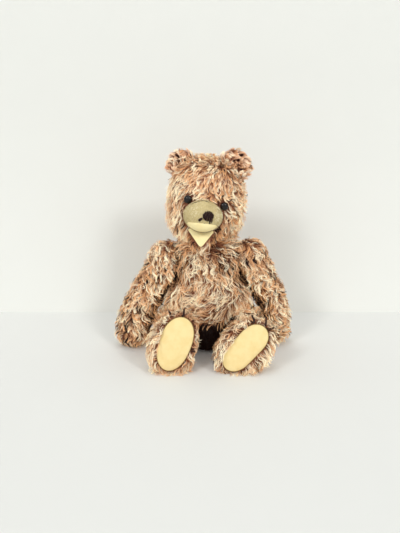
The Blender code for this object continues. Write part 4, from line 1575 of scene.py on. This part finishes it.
@dataclass
class Eye:
    """A glass eye: a low dome with a rounded edge, set along its shank."""

    node: str
    glass: Material

    GROW = 1.06
    BACK = ((0.72, -1.5), (0.93, -0.9), (1.0, -0.1))  # the rings behind the dome: share of its radius, height in mm
    CLEAR_MM = 5.0
    CLEAR_HEIGHT_MM = (-4.0, 40.0)

    def build(self) -> Thing:
        """Builds the eye and returns it, riding on the head.

        Returns:
            The eye.
        """
        points = corners_of(self.node)
        gaps = np.linalg.norm(points[:, None] - points[None], axis=-1)
        ends = points[list(np.unravel_index(gaps.argmax(), gaps.shape))]
        head = points_of(NODES["head_cover"]).mean(0)
        tip, foot = sorted(ends, key=lambda end: -np.linalg.norm(end - head))
        out = Vector(tip - foot).normalized()
        away = (points - tip) @ np.array(out)
        spread = np.linalg.norm(points - tip - away[:, None] * np.array(out), axis=1)
        radius = spread.max() * self.GROW
        rim = away[spread.argmax()]
        rows = [(radius * share, z * MM) for share, z in self.BACK]
        rise = np.linspace(0.08, math.pi / 2 - 0.02, 16)
        rows += [(radius * math.cos(a), -rim * self.GROW * math.sin(a)) for a in rise]
        flat = np.array([[(r * math.cos(a), r * math.sin(a), z) for a in angles(40)] for r, z in rows])
        frame = Matrix.Translation(Vector(tip) + out * rim) @ out.to_track_quat("Z", "Y").to_matrix().to_4x4()
        eye = lofted(self.node + "_glass", placed(flat, frame), self.glass)
        return on_body(eye, Body.HEAD, (self.node,))

    def clearing(self) -> Clearing:
        """Returns the round space over the eye that hair stays out of.

        Returns:
            The space.
        """
        low, high = (np.array(corner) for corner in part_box(self.node))
        frame = Matrix.Translation(Vector((low + high) / 2)) @ Face.FORWARD
        bottom, top = (height * MM for height in self.CLEAR_HEIGHT_MM)
        return Clearing(frame, oval(self.CLEAR_MM, self.CLEAR_MM, 48) * MM, bottom, top, cuts=True)


# ---- the bear's parts ------------------------------------------------------------------------------------------


def built(name: str, finish: Finish) -> Material:
    """Declares a material that is built with the wardrobe."""
    return field(default_factory=lambda: finish.material(name))


@dataclass
class Wardrobe:
    """The materials that the parts share, and the backings of their skins."""

    # In each hair dye the first colour is a painted shade, which the least pale hairs fade to.
    hair: Material = built("hair", HairDye(
        *tints((24, 9, 5), (122, 58, 32), (234, 190, 146), (236, 182, 124), (255, 245, 212))))
    ear_hair: Material = built("ear_hair", HairDye(
        *tints((40, 12, 10), (114, 50, 34), (232, 190, 156), (234, 180, 128), (255, 243, 216))))
    muzzle_nap: Material = built("muzzle_nap", HairDye(
        *tints((150, 132, 88), (190, 172, 124), (226, 212, 168), (226, 206, 150), (255, 248, 214)), glow=0.0))
    felt: Material = built("felt", Felt(*tints((246, 225, 166), (237, 211, 145))))
    face_felt: Material = built("face_felt", Felt(*tints((252, 238, 184), (246, 226, 164))))
    thread: Material = built("thread", Thread(*tints((24, 11, 8), (74, 38, 27))))
    seam: Material = built("seam", Thread(*tints((120, 92, 48), (170, 136, 78)), 0.5))
    eye_glass: Material = built("eye_glass", EyeGlass(*tints((14, 10, 10), (60, 52, 48))))
    backing: Backing = Backing(*tints((80, 40, 26), (150, 94, 64)))
    muzzle_backing: Backing = Backing(*tints((186, 167, 116), (211, 196, 148)), 7.0, 0.35)


@dataclass
class Torso:
    """The stuffed body."""

    wardrobe: Wardrobe
    hairs: int = 16400
    base: Comb = Comb((0, 0, 0), 1, (0.0, -0.15, -1.0), 12.0, 0.5, 0.62, 0.3)
    combs: tuple[Comb, ...] = (
        Comb((-30, -28, 118), 17, (0.1, -0.1, -1.0), 17.0, 0.72, 0.5, 0.3, 1.2, strength=1.5),
        Comb((-38, -20, 84), 16, (-0.1, -0.2, -1.0), 18.0, 0.76, 0.35, 0.35, 1.3, strength=1.5),
        Comb((32, -28, 116), 17, (0.1, -0.1, -1.0), 17.0, 0.66, 0.6, 0.3, 1.2, strength=1.5),
        Comb((40, -18, 84), 16, (0.1, -0.2, -1.0), 18.0, 0.74, 0.45, 0.35, 1.2, strength=1.5),
        Comb((0, -38, 124), 18, (0.25, -0.3, -1.0), 15.0, 0.68, 0.72, 0.35, 1.6),
        Comb((14, -36, 138), 12, (0.7, -0.2, -0.7), 11.0, 0.5, 0.8, 0.35, 1.6),
        Comb((-12, -40, 98), 14, (-0.5, -0.3, -0.8), 11.0, 0.6, 0.7, 0.35, 1.3),
        Comb((14, -40, 96), 14, (0.8, -0.3, -0.5), 11.0, 0.6, 0.7, 0.35, 1.3),
        Comb((-22, -38, 72), 13, (-1.0, -0.2, 0.3), 16.0, 0.64, 0.55, 0.2, 0.9, strength=2.5),
        Comb((0, -42, 76), 13, (-1.0, -0.2, 0.0), 16.0, 0.66, 0.55, 0.2, 0.9, strength=2.5),
        Comb((22, -38, 72), 13, (-1.0, -0.2, -0.3), 16.0, 0.64, 0.55, 0.2, 0.9, strength=2.5),
        Comb((-12, -38, 54), 12, (-1.0, -0.2, 0.15), 14.0, 0.62, 0.7, 0.2, 1.1, strength=2.5),
        Comb((12, -38, 54), 12, (-1.0, -0.2, -0.15), 14.0, 0.62, 0.7, 0.2, 1.1, strength=2.5),
        Comb((0, -32, 42), 9, (-0.8, -0.1, -0.6), 9.0, 0.3, 0.9, 0.2, 0.6),
        # painted shade: near-black hair low on the body between the legs, where shade falls
        Comb((0, -30, 14), 17, (0.0, -0.4, -0.8), 10.0, -0.9, 0.9, 0.35, 0.8, 3.5, strength=9.0),
        Comb((-46, -10, 58), 15, (-0.3, -0.3, -1.0), 22.0, 0.6, 0.5, 1.1, 1.0, 3.2, strength=4.0),
        Comb((46, -10, 58), 15, (0.3, -0.3, -1.0), 20.0, 0.6, 0.5, 1.1, 1.0, 2.4, strength=4.0),
        Comb((-26, -8, 142), 12, (-0.9, -0.3, 0.3), 20.0, 0.55, 0.6, 1.0, 1.0, 1.4, strength=2.0),
        Comb((26, -8, 142), 12, (0.9, -0.3, 0.3), 20.0, 0.55, 0.6, 1.0, 1.0, 1.4, strength=2.0),
        # painted shade: dark hair on the body's sides that face the arms, in the creases between arms and body
        Comb((-44, -6, 112), 20, (-0.1, -0.1, -1.0), 13.0, -0.25, 0.8, 0.3, 1.0, 1.8, (-1, 0, 0), 3.5),
        Comb((44, -6, 112), 20, (0.1, -0.1, -1.0), 13.0, -0.25, 0.8, 0.3, 1.0, 1.8, (1, 0, 0), 3.5),
    )

    def build(self) -> None:
        """Builds the body's skin and coat."""
        near = ("head_cover", *(f"{side}_{limb}_cover" for side in ("left", "right") for limb in ("arm", "leg")))
        skin = Stuffed("torso", Body.TORSO, "torso_cover", ("torso_stuffing",), self.wardrobe.backing,
                       steady_near=near).build()
        Coat("torso_coat", Body.TORSO, self.hairs, self.base, self.combs, self.wardrobe.hair, bare_near=near,
             seed=11).grow(skin)


@dataclass
class Limb:
    """A stuffed limb with a felt pad at its end, claws and a coat."""

    side: str
    wardrobe: Wardrobe
    seed: int
    claws: int = 2
    hairs: int = 9500
    base: Comb = Comb((0, 0, 0), 1, (0.0, -0.1, -1.0), 12.0, 0.5, 0.68, 0.32, 1.2)
    away_from: Triple | None = None

    KIND: ClassVar[str]
    NEIGHBOUR: ClassVar[str]
    PAD: ClassVar[str]
    PAD_SIZES: ClassVar[dict[str, float]] = {}
    CLOSED_BY: ClassVar[tuple[str, ...]] = ()
    CLAW_LIFTS_MM: ClassVar[tuple[float, float]]

    @property
    def out(self) -> float:
        """Which way is outwards: 1 on the bear's left, -1 on its right."""
        return 1.0 if self.side == "left" else -1.0

    def combs(self) -> tuple[Comb, ...]:
        """Returns the limb's combs; each kind has its own."""
        raise NotImplementedError

    def build(self) -> None:
        """Builds the limb's skin, pad, seam, claws and coat."""
        look = self.wardrobe
        name = f"{self.side}_{self.KIND}"
        body = Body(name)
        near = ("torso_cover", f"{self.side}_{self.NEIGHBOUR}_cover")
        skin = Stuffed(name, body, f"{name}_cover", (f"{name}_stuffing",), look.backing,
                       closed_by=tuple(f"{name}_{part}" for part in self.CLOSED_BY),
                       steady_near=(*near, f"{name}_{self.PAD}_felt")).build()
        pad = FeltPad(f"{name}_{self.PAD}", body, f"{name}_{self.PAD}_felt", f"{name}_cover", look.felt,
                      **self.PAD_SIZES)
        pad.build()
        pad.seam(look.seam)
        claws = [Claw(f"{name}_claw_{number + 1}", body, look.thread, skin, self.CLAW_LIFTS_MM).build()
                 for number in range(self.claws)]
        Coat(f"{name}_coat", body, self.hairs, self.base, self.combs(), look.hair, bare_near=near,
             clearings=(pad.clearing(), *claws), away_from=self.away_from, seed=self.seed).grow(skin)


@dataclass
class Arm(Limb):
    """One arm, with its felt palm."""

    KIND = "arm"
    NEIGHBOUR = "leg"
    PAD = "palm"
    PAD_SIZES = {"crown_mm": 1.0, "puckers": 22}
    CLAW_LIFTS_MM = (1.2, 4.0)

    def combs(self) -> tuple[Comb, ...]:
        """Returns the arm's combs, from its shoulder to its paw.

        Returns:
            The combs.
        """
        out = self.out
        return (
            Comb((out * 60, -6, 132), 15, (out * 0.6, -0.3, -0.8), 11.0, 0.58, 0.75, 0.3, 1.3),
            Comb((out * 42, -6, 134), 9, (-out * 0.8, -0.4, 0.1), 14.0, 0.5, 0.7, 0.7, 1.0, 1.3),
            Comb((out * 50, -12, 112), 16, (-out * 0.1, -0.2, -1.0), 14.0, 0.66, 0.5, 0.3, 1.2),
            Comb((out * 80, 0, 100), 20, (out * 0.5, -0.2, -0.9), 12.0, 0.6, 0.72, 0.45, 1.3),
            Comb((out * 88, 0, 66), 22, (out * 0.35, -0.2, -1.0), 11.0, 0.6, 0.7, 0.45, 1.3),
            Comb((out * 100, 4, 30), 18, (out * 0.3, -0.2, -1.0), 11.0, 0.56, 0.6, 0.4, 1.4),
            # painted shade: dark hair on the arm's inner side, in the crease against the body
            Comb((out * 52, 8, 98), 25, (out * 0.3, -0.1, -1.0), 12.0, -0.4, 0.9, 0.3, 1.0, 1.6, (-out, 0, 0), 5.0),
            Comb((out * 60, 8, 60), 25, (out * 0.3, -0.1, -1.0), 12.0, -0.3, 0.9, 0.3, 1.0, 1.6, (-out, 0, 0), 5.0),
        )


@dataclass
class Leg(Limb):
    """One leg, stretched forwards, with its felt sole; its hair stands away from the sole's middle."""

    hairs: int = 10300
    base: Comb = Comb((0, 0, 0), 1, (0.0, -0.45, -0.5), 12.0, 0.56, 0.55, 0.5, 1.1)
    inner_length: float = 15.0

    KIND = "leg"
    NEIGHBOUR = "arm"
    PAD = "sole"
    CLOSED_BY = ("sole_card",)
    CLAW_LIFTS_MM = (1.4, 6.0)

    def combs(self) -> tuple[Comb, ...]:
        """Returns the leg's combs, from its hip to the rim of its sole.

        Returns:
            The combs.
        """
        out = self.out
        x, y, z = self.away_from
        return (
            Comb((out * 40, -10, 52), 20, (out * 0.3, -0.8, 0.4), 15.0, 0.66, 0.4, 0.6, 1.1),
            Comb((out * 54, -8, 46), 13, (out * 0.3, -0.3, 1.0), 20.0, 0.6, 0.5, 1.0, 1.1, 1.6, strength=2.5),
            Comb((out * 38, -40, 58), 18, (0.1, -1.0, 0.2), 14.0, 0.68, 0.4, 0.5, 1.3),
            Comb((x, y + 12, z + 30), 14, (0.0, -0.8, 0.7), 10.0, 0.66, 0.4, 0.6, 1.2),
            Comb((x + out * 28, y + 12, z), 17, (out * 0.45, -0.4, -0.7), 15.0, 0.74, 0.35, 0.65, 1.1, 1.5,
                 strength=1.5),
            Comb((x - out * 28, y + 12, z), 16, (-out * 0.3, -0.3, -0.9), self.inner_length, 0.7, 0.4, 0.45, 1.1),
            Comb((x, y + 12, z - 30), 16, (out * 0.1, -0.9, -0.3), 16.0, 0.66, 0.45, 0.5, 1.0, 1.6, strength=1.5),
            # painted shade: dark hair on the leg's inner side near the body, between the legs
            Comb((out * 16, y + 62, 18), 26, (0.0, -0.8, -0.6), 9.0, -0.2, 0.8, 0.3, 1.0, 1.8, (-out, 0.1, 0), 5.0),
        )


@dataclass
class Ear:
    """One ear: a furry cup whose inside has shorter, pinker hair, and is worn in spots."""

    side: str
    wardrobe: Wardrobe
    out: float
    seed: int
    spots: tuple[Triple, ...]
    inside_length: float = 6.0
    hairs: int = 3300
    wave_mm: float = 0.7

    def build(self) -> None:
        """Builds the ear's skin and coat."""
        name = f"{self.side}_ear"
        low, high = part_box(name)
        x, y, z = (np.array(low) + np.array(high)) / 2 / MM - BEAR_MIDDLE
        out = self.out
        skin = Stuffed(name, Body.HEAD, name, (), self.wardrobe.backing, voxel_mm=1.8, swell_mm=0.8, fill=0.2,
                       steady_near=("head_cover",)).build()
        base = Comb((0, 0, 0), 1, (out * 0.3, 0.2, 1.0), 11.0, 0.62, 0.6, 0.5)
        combs = (
            Comb((x, y - 6, z), 16, (out * 0.2, -0.2, 0.9), self.inside_length, 0.66, 0.5, 0.25, 0.8, 1.3, (0, -1, 0)),
            Comb((x + out * 14, y, z + 8), 9, (out * 0.5, -0.3, -0.6), 10.0, 0.66, 0.6, 0.4, 1.0),
            Comb((x - out * 4, y, z + 16), 9, (out * 0.6, -0.5, -0.3), 10.0, 0.6, 0.62, 0.4, 1.0),
        )
        worn = tuple(Comb(spot, 3.0, (0.0, -0.3, -1.0), 2.5, 0.0, 1.0, 0.1, 0.3, 0.4, strength=8.0)
                     for spot in self.spots)
        Coat(f"{name}_coat", Body.HEAD, self.hairs, base, combs + worn, self.wardrobe.ear_hair,
             bare_near=("head_cover",), bare_mm=0.6, seed=self.seed, wave_mm=self.wave_mm).grow(skin)


@dataclass
class Head:
    """The head with its muzzle, eyes, ears, felt mouth and nose."""

    wardrobe: Wardrobe
    hairs: int = 16400
    muzzle_hairs: int = 8000
    base: Comb = Comb((0, 0, 0), 1, (0.0, 0.0, -0.35), 11.0, 0.55, 0.55, 0.3)
    combs: tuple[Comb, ...] = (
        Comb((-12, -34, 232), 15, (-0.7, -0.2, -0.6), 7.0, 0.6, 0.55, 0.05, 0.3, 2.0, strength=2.5),
        Comb((16, -34, 232), 14, (-0.2, -0.2, -1.0), 7.0, 0.6, 0.58, 0.05, 0.35, 2.0, strength=2.5),
        Comb((0, -40, 216), 8, (-0.3, -0.2, -1.0), 8.0, 0.5, 0.7, 0.15, 0.6, 1.3),
        Comb((-24, -36, 216), 10, (-0.6, -0.2, -0.6), 8.0, 0.5, 0.6, 0.2, 0.7),
        Comb((-46, -18, 204), 16, (-0.35, -0.1, -1.0), 14.0, 0.82, 0.12, 0.34, 0.7),
        Comb((-42, -22, 178), 15, (-0.6, -0.1, -1.0), 17.0, 0.74, 0.28, 0.55, 0.8),
        Comb((-36, -10, 162), 12, (-0.4, -0.2, -1.0), 19.0, 0.62, 0.5, 0.6, 1.0, 1.2, strength=1.5),
        Comb((34, -10, 162), 12, (0.4, -0.2, -1.0), 17.0, 0.55, 0.7, 0.6, 1.0, 1.2, strength=1.5),
        # painted shade: dark hair along the jaw's sides and along the muzzle's edge on the bear's left
        Comb((-25, -46, 156), 5, (-0.4, -0.2, -1.0), 7.0, 0.05, 0.9, 0.2, 0.5, strength=3.0),
        Comb((9, -48, 154), 5, (0.4, -0.2, -1.0), 7.0, 0.05, 0.9, 0.2, 0.5, strength=3.0),
        Comb((24, -44, 172), 4, (0.4, -0.2, -1.0), 7.0, 0.15, 0.9, 0.2, 0.5, strength=2.0),
        Comb((-8, -42, 209), 7, (-0.35, -0.5, -0.8), 8.0, 0.85, 0.12, 0.25, 0.6),
        Comb((6, -42, 212), 5, (0.3, -0.5, -0.8), 7.0, 0.5, 0.7, 0.25, 0.6),
        Comb((30, -32, 206), 14, (0.6, -0.3, -0.6), 12.0, 0.62, 0.75, 0.36, 1.6),
        Comb((38, -24, 186), 15, (0.6, -0.2, -0.8), 13.0, 0.6, 0.78, 0.42, 1.5),
        Comb((22, -34, 176), 10, (0.15, -0.1, -1.0), 10.0, 0.55, 0.5, 0.2, 0.7),
        Comb((-16, -10, 246), 14, (-0.5, -0.8, 0.5), 16.0, 0.6, 0.5, 0.95, 0.9, 1.4, strength=1.5),
        Comb((8, -10, 247), 14, (-0.2, -0.8, 0.5), 16.0, 0.6, 0.5, 0.95, 0.9, 1.4, strength=1.5),
        Comb((14, -26, 158), 14, (0.2, -0.2, -1.0), 10.0, 0.42, 0.7, 0.25, 1.2),
        Comb((13, -16, 249), 4, (0.3, -0.7, -0.6), 5.0, 0.0, 1.0, 0.2, 0.5, strength=5.0),
        Comb((21, -20, 243), 4, (0.3, -0.7, -0.6), 5.0, 0.0, 1.0, 0.2, 0.5, strength=5.0),
        Comb((25, -24, 234), 4, (0.3, -0.7, -0.6), 5.0, 0.0, 1.0, 0.2, 0.5, strength=5.0),
    )
    nap_base: Comb = Comb((0, 0, 0), 1, (0.0, 0.3, -0.6), 2.1, 0.6, 0.5, 0.3, 0.3)
    nap_combs: tuple[Comb, ...] = (
        Comb((-2, -60, 198), 8, (0.0, 0.3, -1.0), 2.4, 0.3, 0.2, 0.3, 0.3),
        # painted light: this comb and the next two pale the nap high on the muzzle towards the bear's right, and down
        # its side towards the bear's left
        Comb((-16, -60, 196), 8, (-0.2, 0.3, -1.0), 2.4, 0.85, 0.2, 0.3, 0.3),
        Comb((18, -58, 190), 9, (0.2, 0.3, -1.0), 2.4, 0.95, 0.4, 0.3, 0.3, strength=2.0),
        Comb((17, -60, 178), 7, (0.3, 0.3, -0.8), 2.0, 0.8, 0.6, 0.3, 0.3),
        Comb((-23, -58, 180), 8, (-0.3, 0.3, -0.8), 2.0, 0.45, 0.7, 0.3, 0.3),
    )
    left_spots: tuple[Triple, ...] = ((25.4, -12, 233), (32, -6, 243), (37, -6, 237), (41, -6, 238))
    right_spots: tuple[Triple, ...] = ((-30, -8, 252), (-34, -8, 243))

    HAIR_AWAY_FROM = (-5, -62, 186)
    JAW_CLEAR_MM = 24.0
    MUZZLE_OVAL = (-3.3, -15.6, 25.4, 20.4)
    MUZZLE_CLEAR_MM = (20, 95)
    UPPER_SEAM = ((-20.0, 3.0), 12.0, 0.1)
    MOUTH_SHADE_LINE = ((-17.0, 11.0), -45.0, 0.5)
    BRIDGE_MIDDLE = (-6.0, -50.0, 182.0)
    BRIDGE_RISE_MM = 2.2
    BRIDGE_HALF_MM = 15.0
    MUZZLE_HALF_HEIGHT_MM = 18.0

    def build(self) -> None:
        """Builds the head's pieces."""
        look = self.wardrobe
        skin = Stuffed("head", Body.HEAD, "head_cover", ("head_stuffing",), look.backing,
                       steady_near=("torso_cover", "muzzle_cover", "jaw_felt", "left_arm_cover",
                                    "right_arm_cover")).build()
        muzzle = Stuffed("muzzle", Body.HEAD, "muzzle_cover", (), look.muzzle_backing, Slot.MUZZLE, 1.5, 0.6,
                         steady_near=("head_cover", "lip_felt", "nose_stitching")).build()
        self.arch(muzzle)
        jaw = FeltPad("jaw", Body.HEAD, "jaw_felt", "head_cover", look.face_felt, crown_mm=0.5, rise_mm=0.2,
                      pucker_mm=0.05, puckers=20)
        jaw.build()
        face = Face(muzzle, look.face_felt, look.thread)
        face.nose()
        face.stitches()
        face.lip()
        face.edge_seam("muzzle_seam", *self.UPPER_SEAM)
        # painted shade: a dark thread along the gap between the lip and the jaw
        face.edge_seam("mouth_shade_line", *self.MOUTH_SHADE_LINE)
        eyes = [Eye(node, look.eye_glass) for node in ("left_eye", "right_eye")]
        for eye in eyes:
            eye.build()
        clearings = (face.oval_clearing(*self.MUZZLE_OVAL, *self.MUZZLE_CLEAR_MM), jaw.clearing(self.JAW_CLEAR_MM),
                     *(eye.clearing() for eye in eyes))
        Coat("head_coat", Body.HEAD, self.hairs, self.base, self.combs, look.hair,
             bare_near=("torso_cover", "muzzle_cover", "jaw_felt", "left_ear", "right_ear"), bare_mm=0.8,
             clearings=clearings, away_from=self.HAIR_AWAY_FROM, seed=7).grow(skin)
        Coat("muzzle_nap", Body.HEAD, self.muzzle_hairs, self.nap_base, self.nap_combs, look.muzzle_nap, Slot.MUZZLE,
             width_mm=0.24, lock_mm=1.2, rings=3, wave_mm=0.1, bare_near=("head_cover", "nose_stitching", "lip_felt"),
             bare_mm=0.4, seed=5).grow(muzzle)
        Ear("left", look, 1.0, 31, self.left_spots, 5.0).build()
        Ear("right", look, -1.0, 37, self.right_spots).build()

    def arch(self, muzzle: Thing) -> None:
        """Raises the middle of the muzzle's upper edge, which is pulled up towards the brow.

        Args:
            muzzle: The muzzle's skin.
        """
        points = points_of(muzzle)
        away = (points - in_frame(self.BRIDGE_MIDDLE)) / MM
        share = smooth_step(away[:, 2] / self.MUZZLE_HALF_HEIGHT_MM, 0.1, 1.0)
        share = share * np.exp(-((away[:, 0] / self.BRIDGE_HALF_MM) ** 2))
        points[:, 2] += self.BRIDGE_RISE_MM * MM * share
        set_points(muzzle, points)


@dataclass
class InnerParts:
    """The joints' boards and pins, and the cards behind the soles."""

    finishes: tuple[tuple[str, Grained], ...] = (
        ("_disc", Grained(*tints((96, 66, 40), (136, 98, 62)), 1.2, 0.8)),
        ("_card", Grained(*tints((172, 150, 112), (200, 180, 140)), 1.6, 0.9)),
        ("_washer", Grained(*tints((120, 118, 116), (168, 166, 162)), 0.6, 0.4, 0.9)),
        ("_pin", Grained(*tints((120, 118, 116), (168, 166, 162)), 0.6, 0.4, 0.9)),
    )

    def dress(self) -> None:
        """Gives each of the frame's own inner solids its material."""
        for ending, finish in self.finishes:
            material = finish.material(f"inner{ending}")
            for name, thing in NODES.items():
                if name.endswith(ending):
                    dress(thing.data, material)


# ---- the studio ------------------------------------------------------------------------------------------------


@dataclass
class Studio:
    """A pale floor that meets a pale wall, soft lights, and the camera."""

    camera_mm: Triple = (-4.7, -798.1, 306.0)
    camera_pitch: float = 76.5
    lens_mm: float = 28.82
    sensor_mm: float = 24.0
    wall_mm: float = 168.0
    half_width_mm: float = 4000.0
    height_mm: float = 3000.0
    sky: float = 0.6
    lights: tuple[tuple[str, Triple, Triple, float, float], ...] = (  # name, place, aim, side and watts
        ("left_key", (-2000, -3000, 2500), (0, 0, 120), 900, 56.0),
        ("right_key", (2000, -3000, 2500), (0, 0, 120), 900, 56.0),
        ("top", (0, -100, 1500), (0, -40, 0), 500, 3.0),
    )
    # painted light and shade: the floor is darker towards the front and the wall paler at its foot, which evens out how
    # the lamps fall on them
    floor_tints: tuple[Colour, Colour] = tints((217, 218, 215), (223, 224, 221))
    floor_run_mm: tuple[float, float] = (-400.0, 168.0)
    wall_tints: tuple[Colour, Colour] = tints((233, 234, 229), (222, 223, 218))
    wall_run_mm: tuple[float, float] = (0.0, 460.0)

    def board(self, name: str, corners: Sequence[Triple], colours: tuple[Colour, Colour], axis: int,
              run_mm: tuple[float, float], one_sided: bool = False) -> None:
        """Builds a large flat board with a soft painted finish, a little paler at one end of its run: painted light and
        shade that evens out how the lamps fall on it.

        Args:
            name: Its name.
            corners: Its corners in mm.
            colours: Its colours at the low and the high end of the run.
            axis: Which way it runs.
            run_mm: Where the run starts and ends.
            one_sided: Whether it is clear from behind, so that the bear's back can be seen past it.
        """
        mesh = bpy.data.meshes.new(name)
        mesh.from_pydata([tuple(v * MM for v in corner) for corner in corners], [], [tuple(range(len(corners)))])
        recipe = Recipe(name)
        place = recipe.add("ShaderNodeSeparateXYZ", sockets={0: recipe.place()}).outputs[axis]
        along = Term(recipe, place).within(*(mm * MM for mm in run_mm))
        shade = recipe.mix(along + (recipe.noise(60.0, 3) - 0.5) * 0.2, *colours)
        solid = {}
        if one_sided:
            solid["Alpha"] = 1 - Term(recipe, recipe.add("ShaderNodeNewGeometry").outputs["Backfacing"])
        new_object(name, mesh, recipe.finish(shade, 0.55, Specular_IOR_Level=0.2, **solid))

    def area(self, name: str, place_mm: Triple, aim_mm: Triple, size_mm: float, watts: float) -> None:
        """Hangs a square soft light.

        Args:
            name: Its name.
            place_mm: Where it hangs.
            aim_mm: Where it points.
            size_mm: Its side.
            watts: Its power.
        """
        light = bpy.data.lights.new(name, "AREA")
        light.size = size_mm * MM
        light.energy = watts
        lamp = bpy.data.objects.new(name, light)
        lamp.location = Vector(place_mm) * MM
        lamp.rotation_euler = (Vector(place_mm) - Vector(aim_mm)).to_track_quat("Z", "Y").to_euler()
        bpy.context.scene.collection.objects.link(lamp)

    def build(self) -> None:
        """Builds the studio."""
        wide, back, top = self.half_width_mm, self.wall_mm, self.height_mm
        self.board("floor", ((-wide, -wide, 0), (wide, -wide, 0), (wide, wide, 0), (-wide, wide, 0)),
                   self.floor_tints, 1, self.floor_run_mm)
        self.board("wall", ((-wide, back, 0), (wide, back, 0), (wide, back, top), (-wide, back, top)),
                   self.wall_tints, 2, self.wall_run_mm, one_sided=True)
        for light in self.lights:
            self.area(*light)
        world = bpy.data.worlds.new("sky")
        world.use_nodes = True
        background = world.node_tree.nodes["Background"]
        background.inputs["Strength"].default_value = self.sky
        background.inputs["Color"].default_value = (1.0, 1.0, 1.0, 1.0)
        scene = bpy.context.scene
        scene.world = world
        scene.view_settings.view_transform = "Standard"
        self.camera(scene)

    def camera(self, scene: bpy.types.Scene) -> None:
        """Sets the camera up.

        Args:
            scene: The scene that it is for.
        """
        data = bpy.data.cameras.new("camera")
        data.sensor_fit = "VERTICAL"
        data.sensor_height = self.sensor_mm
        data.lens = self.lens_mm
        camera = bpy.data.objects.new("camera", data)
        camera.location = Vector(self.camera_mm) * MM
        camera.rotation_euler = (math.radians(self.camera_pitch), 0.0, 0.0)
        scene.collection.objects.link(camera)
        scene.camera = camera


def main() -> None:
    """Builds the scene part by part."""
    logging.basicConfig(level=logging.INFO, format="%(name)s: %(message)s")
    wardrobe = Wardrobe()
    parts: dict[str, Callable[[], None]] = {
        "studio": Studio().build,
        "inner parts": InnerParts().dress,
        "torso": Torso(wardrobe).build,
        "left arm": Arm("left", wardrobe, 21, claws=1).build,
        "right arm": Arm("right", wardrobe, 22).build,
        "left leg": Leg("left", wardrobe, 23, away_from=(42.9, -97.0, 31.8)).build,
        "right leg": Leg("right", wardrobe, 24, away_from=(-41.3, -97.0, 37.0), inner_length=4.0).build,
        "head": Head(wardrobe).build,
    }
    for name, build in parts.items():
        build()
        log.info("built the %s", name)


if __name__ == "__main__":
    main()
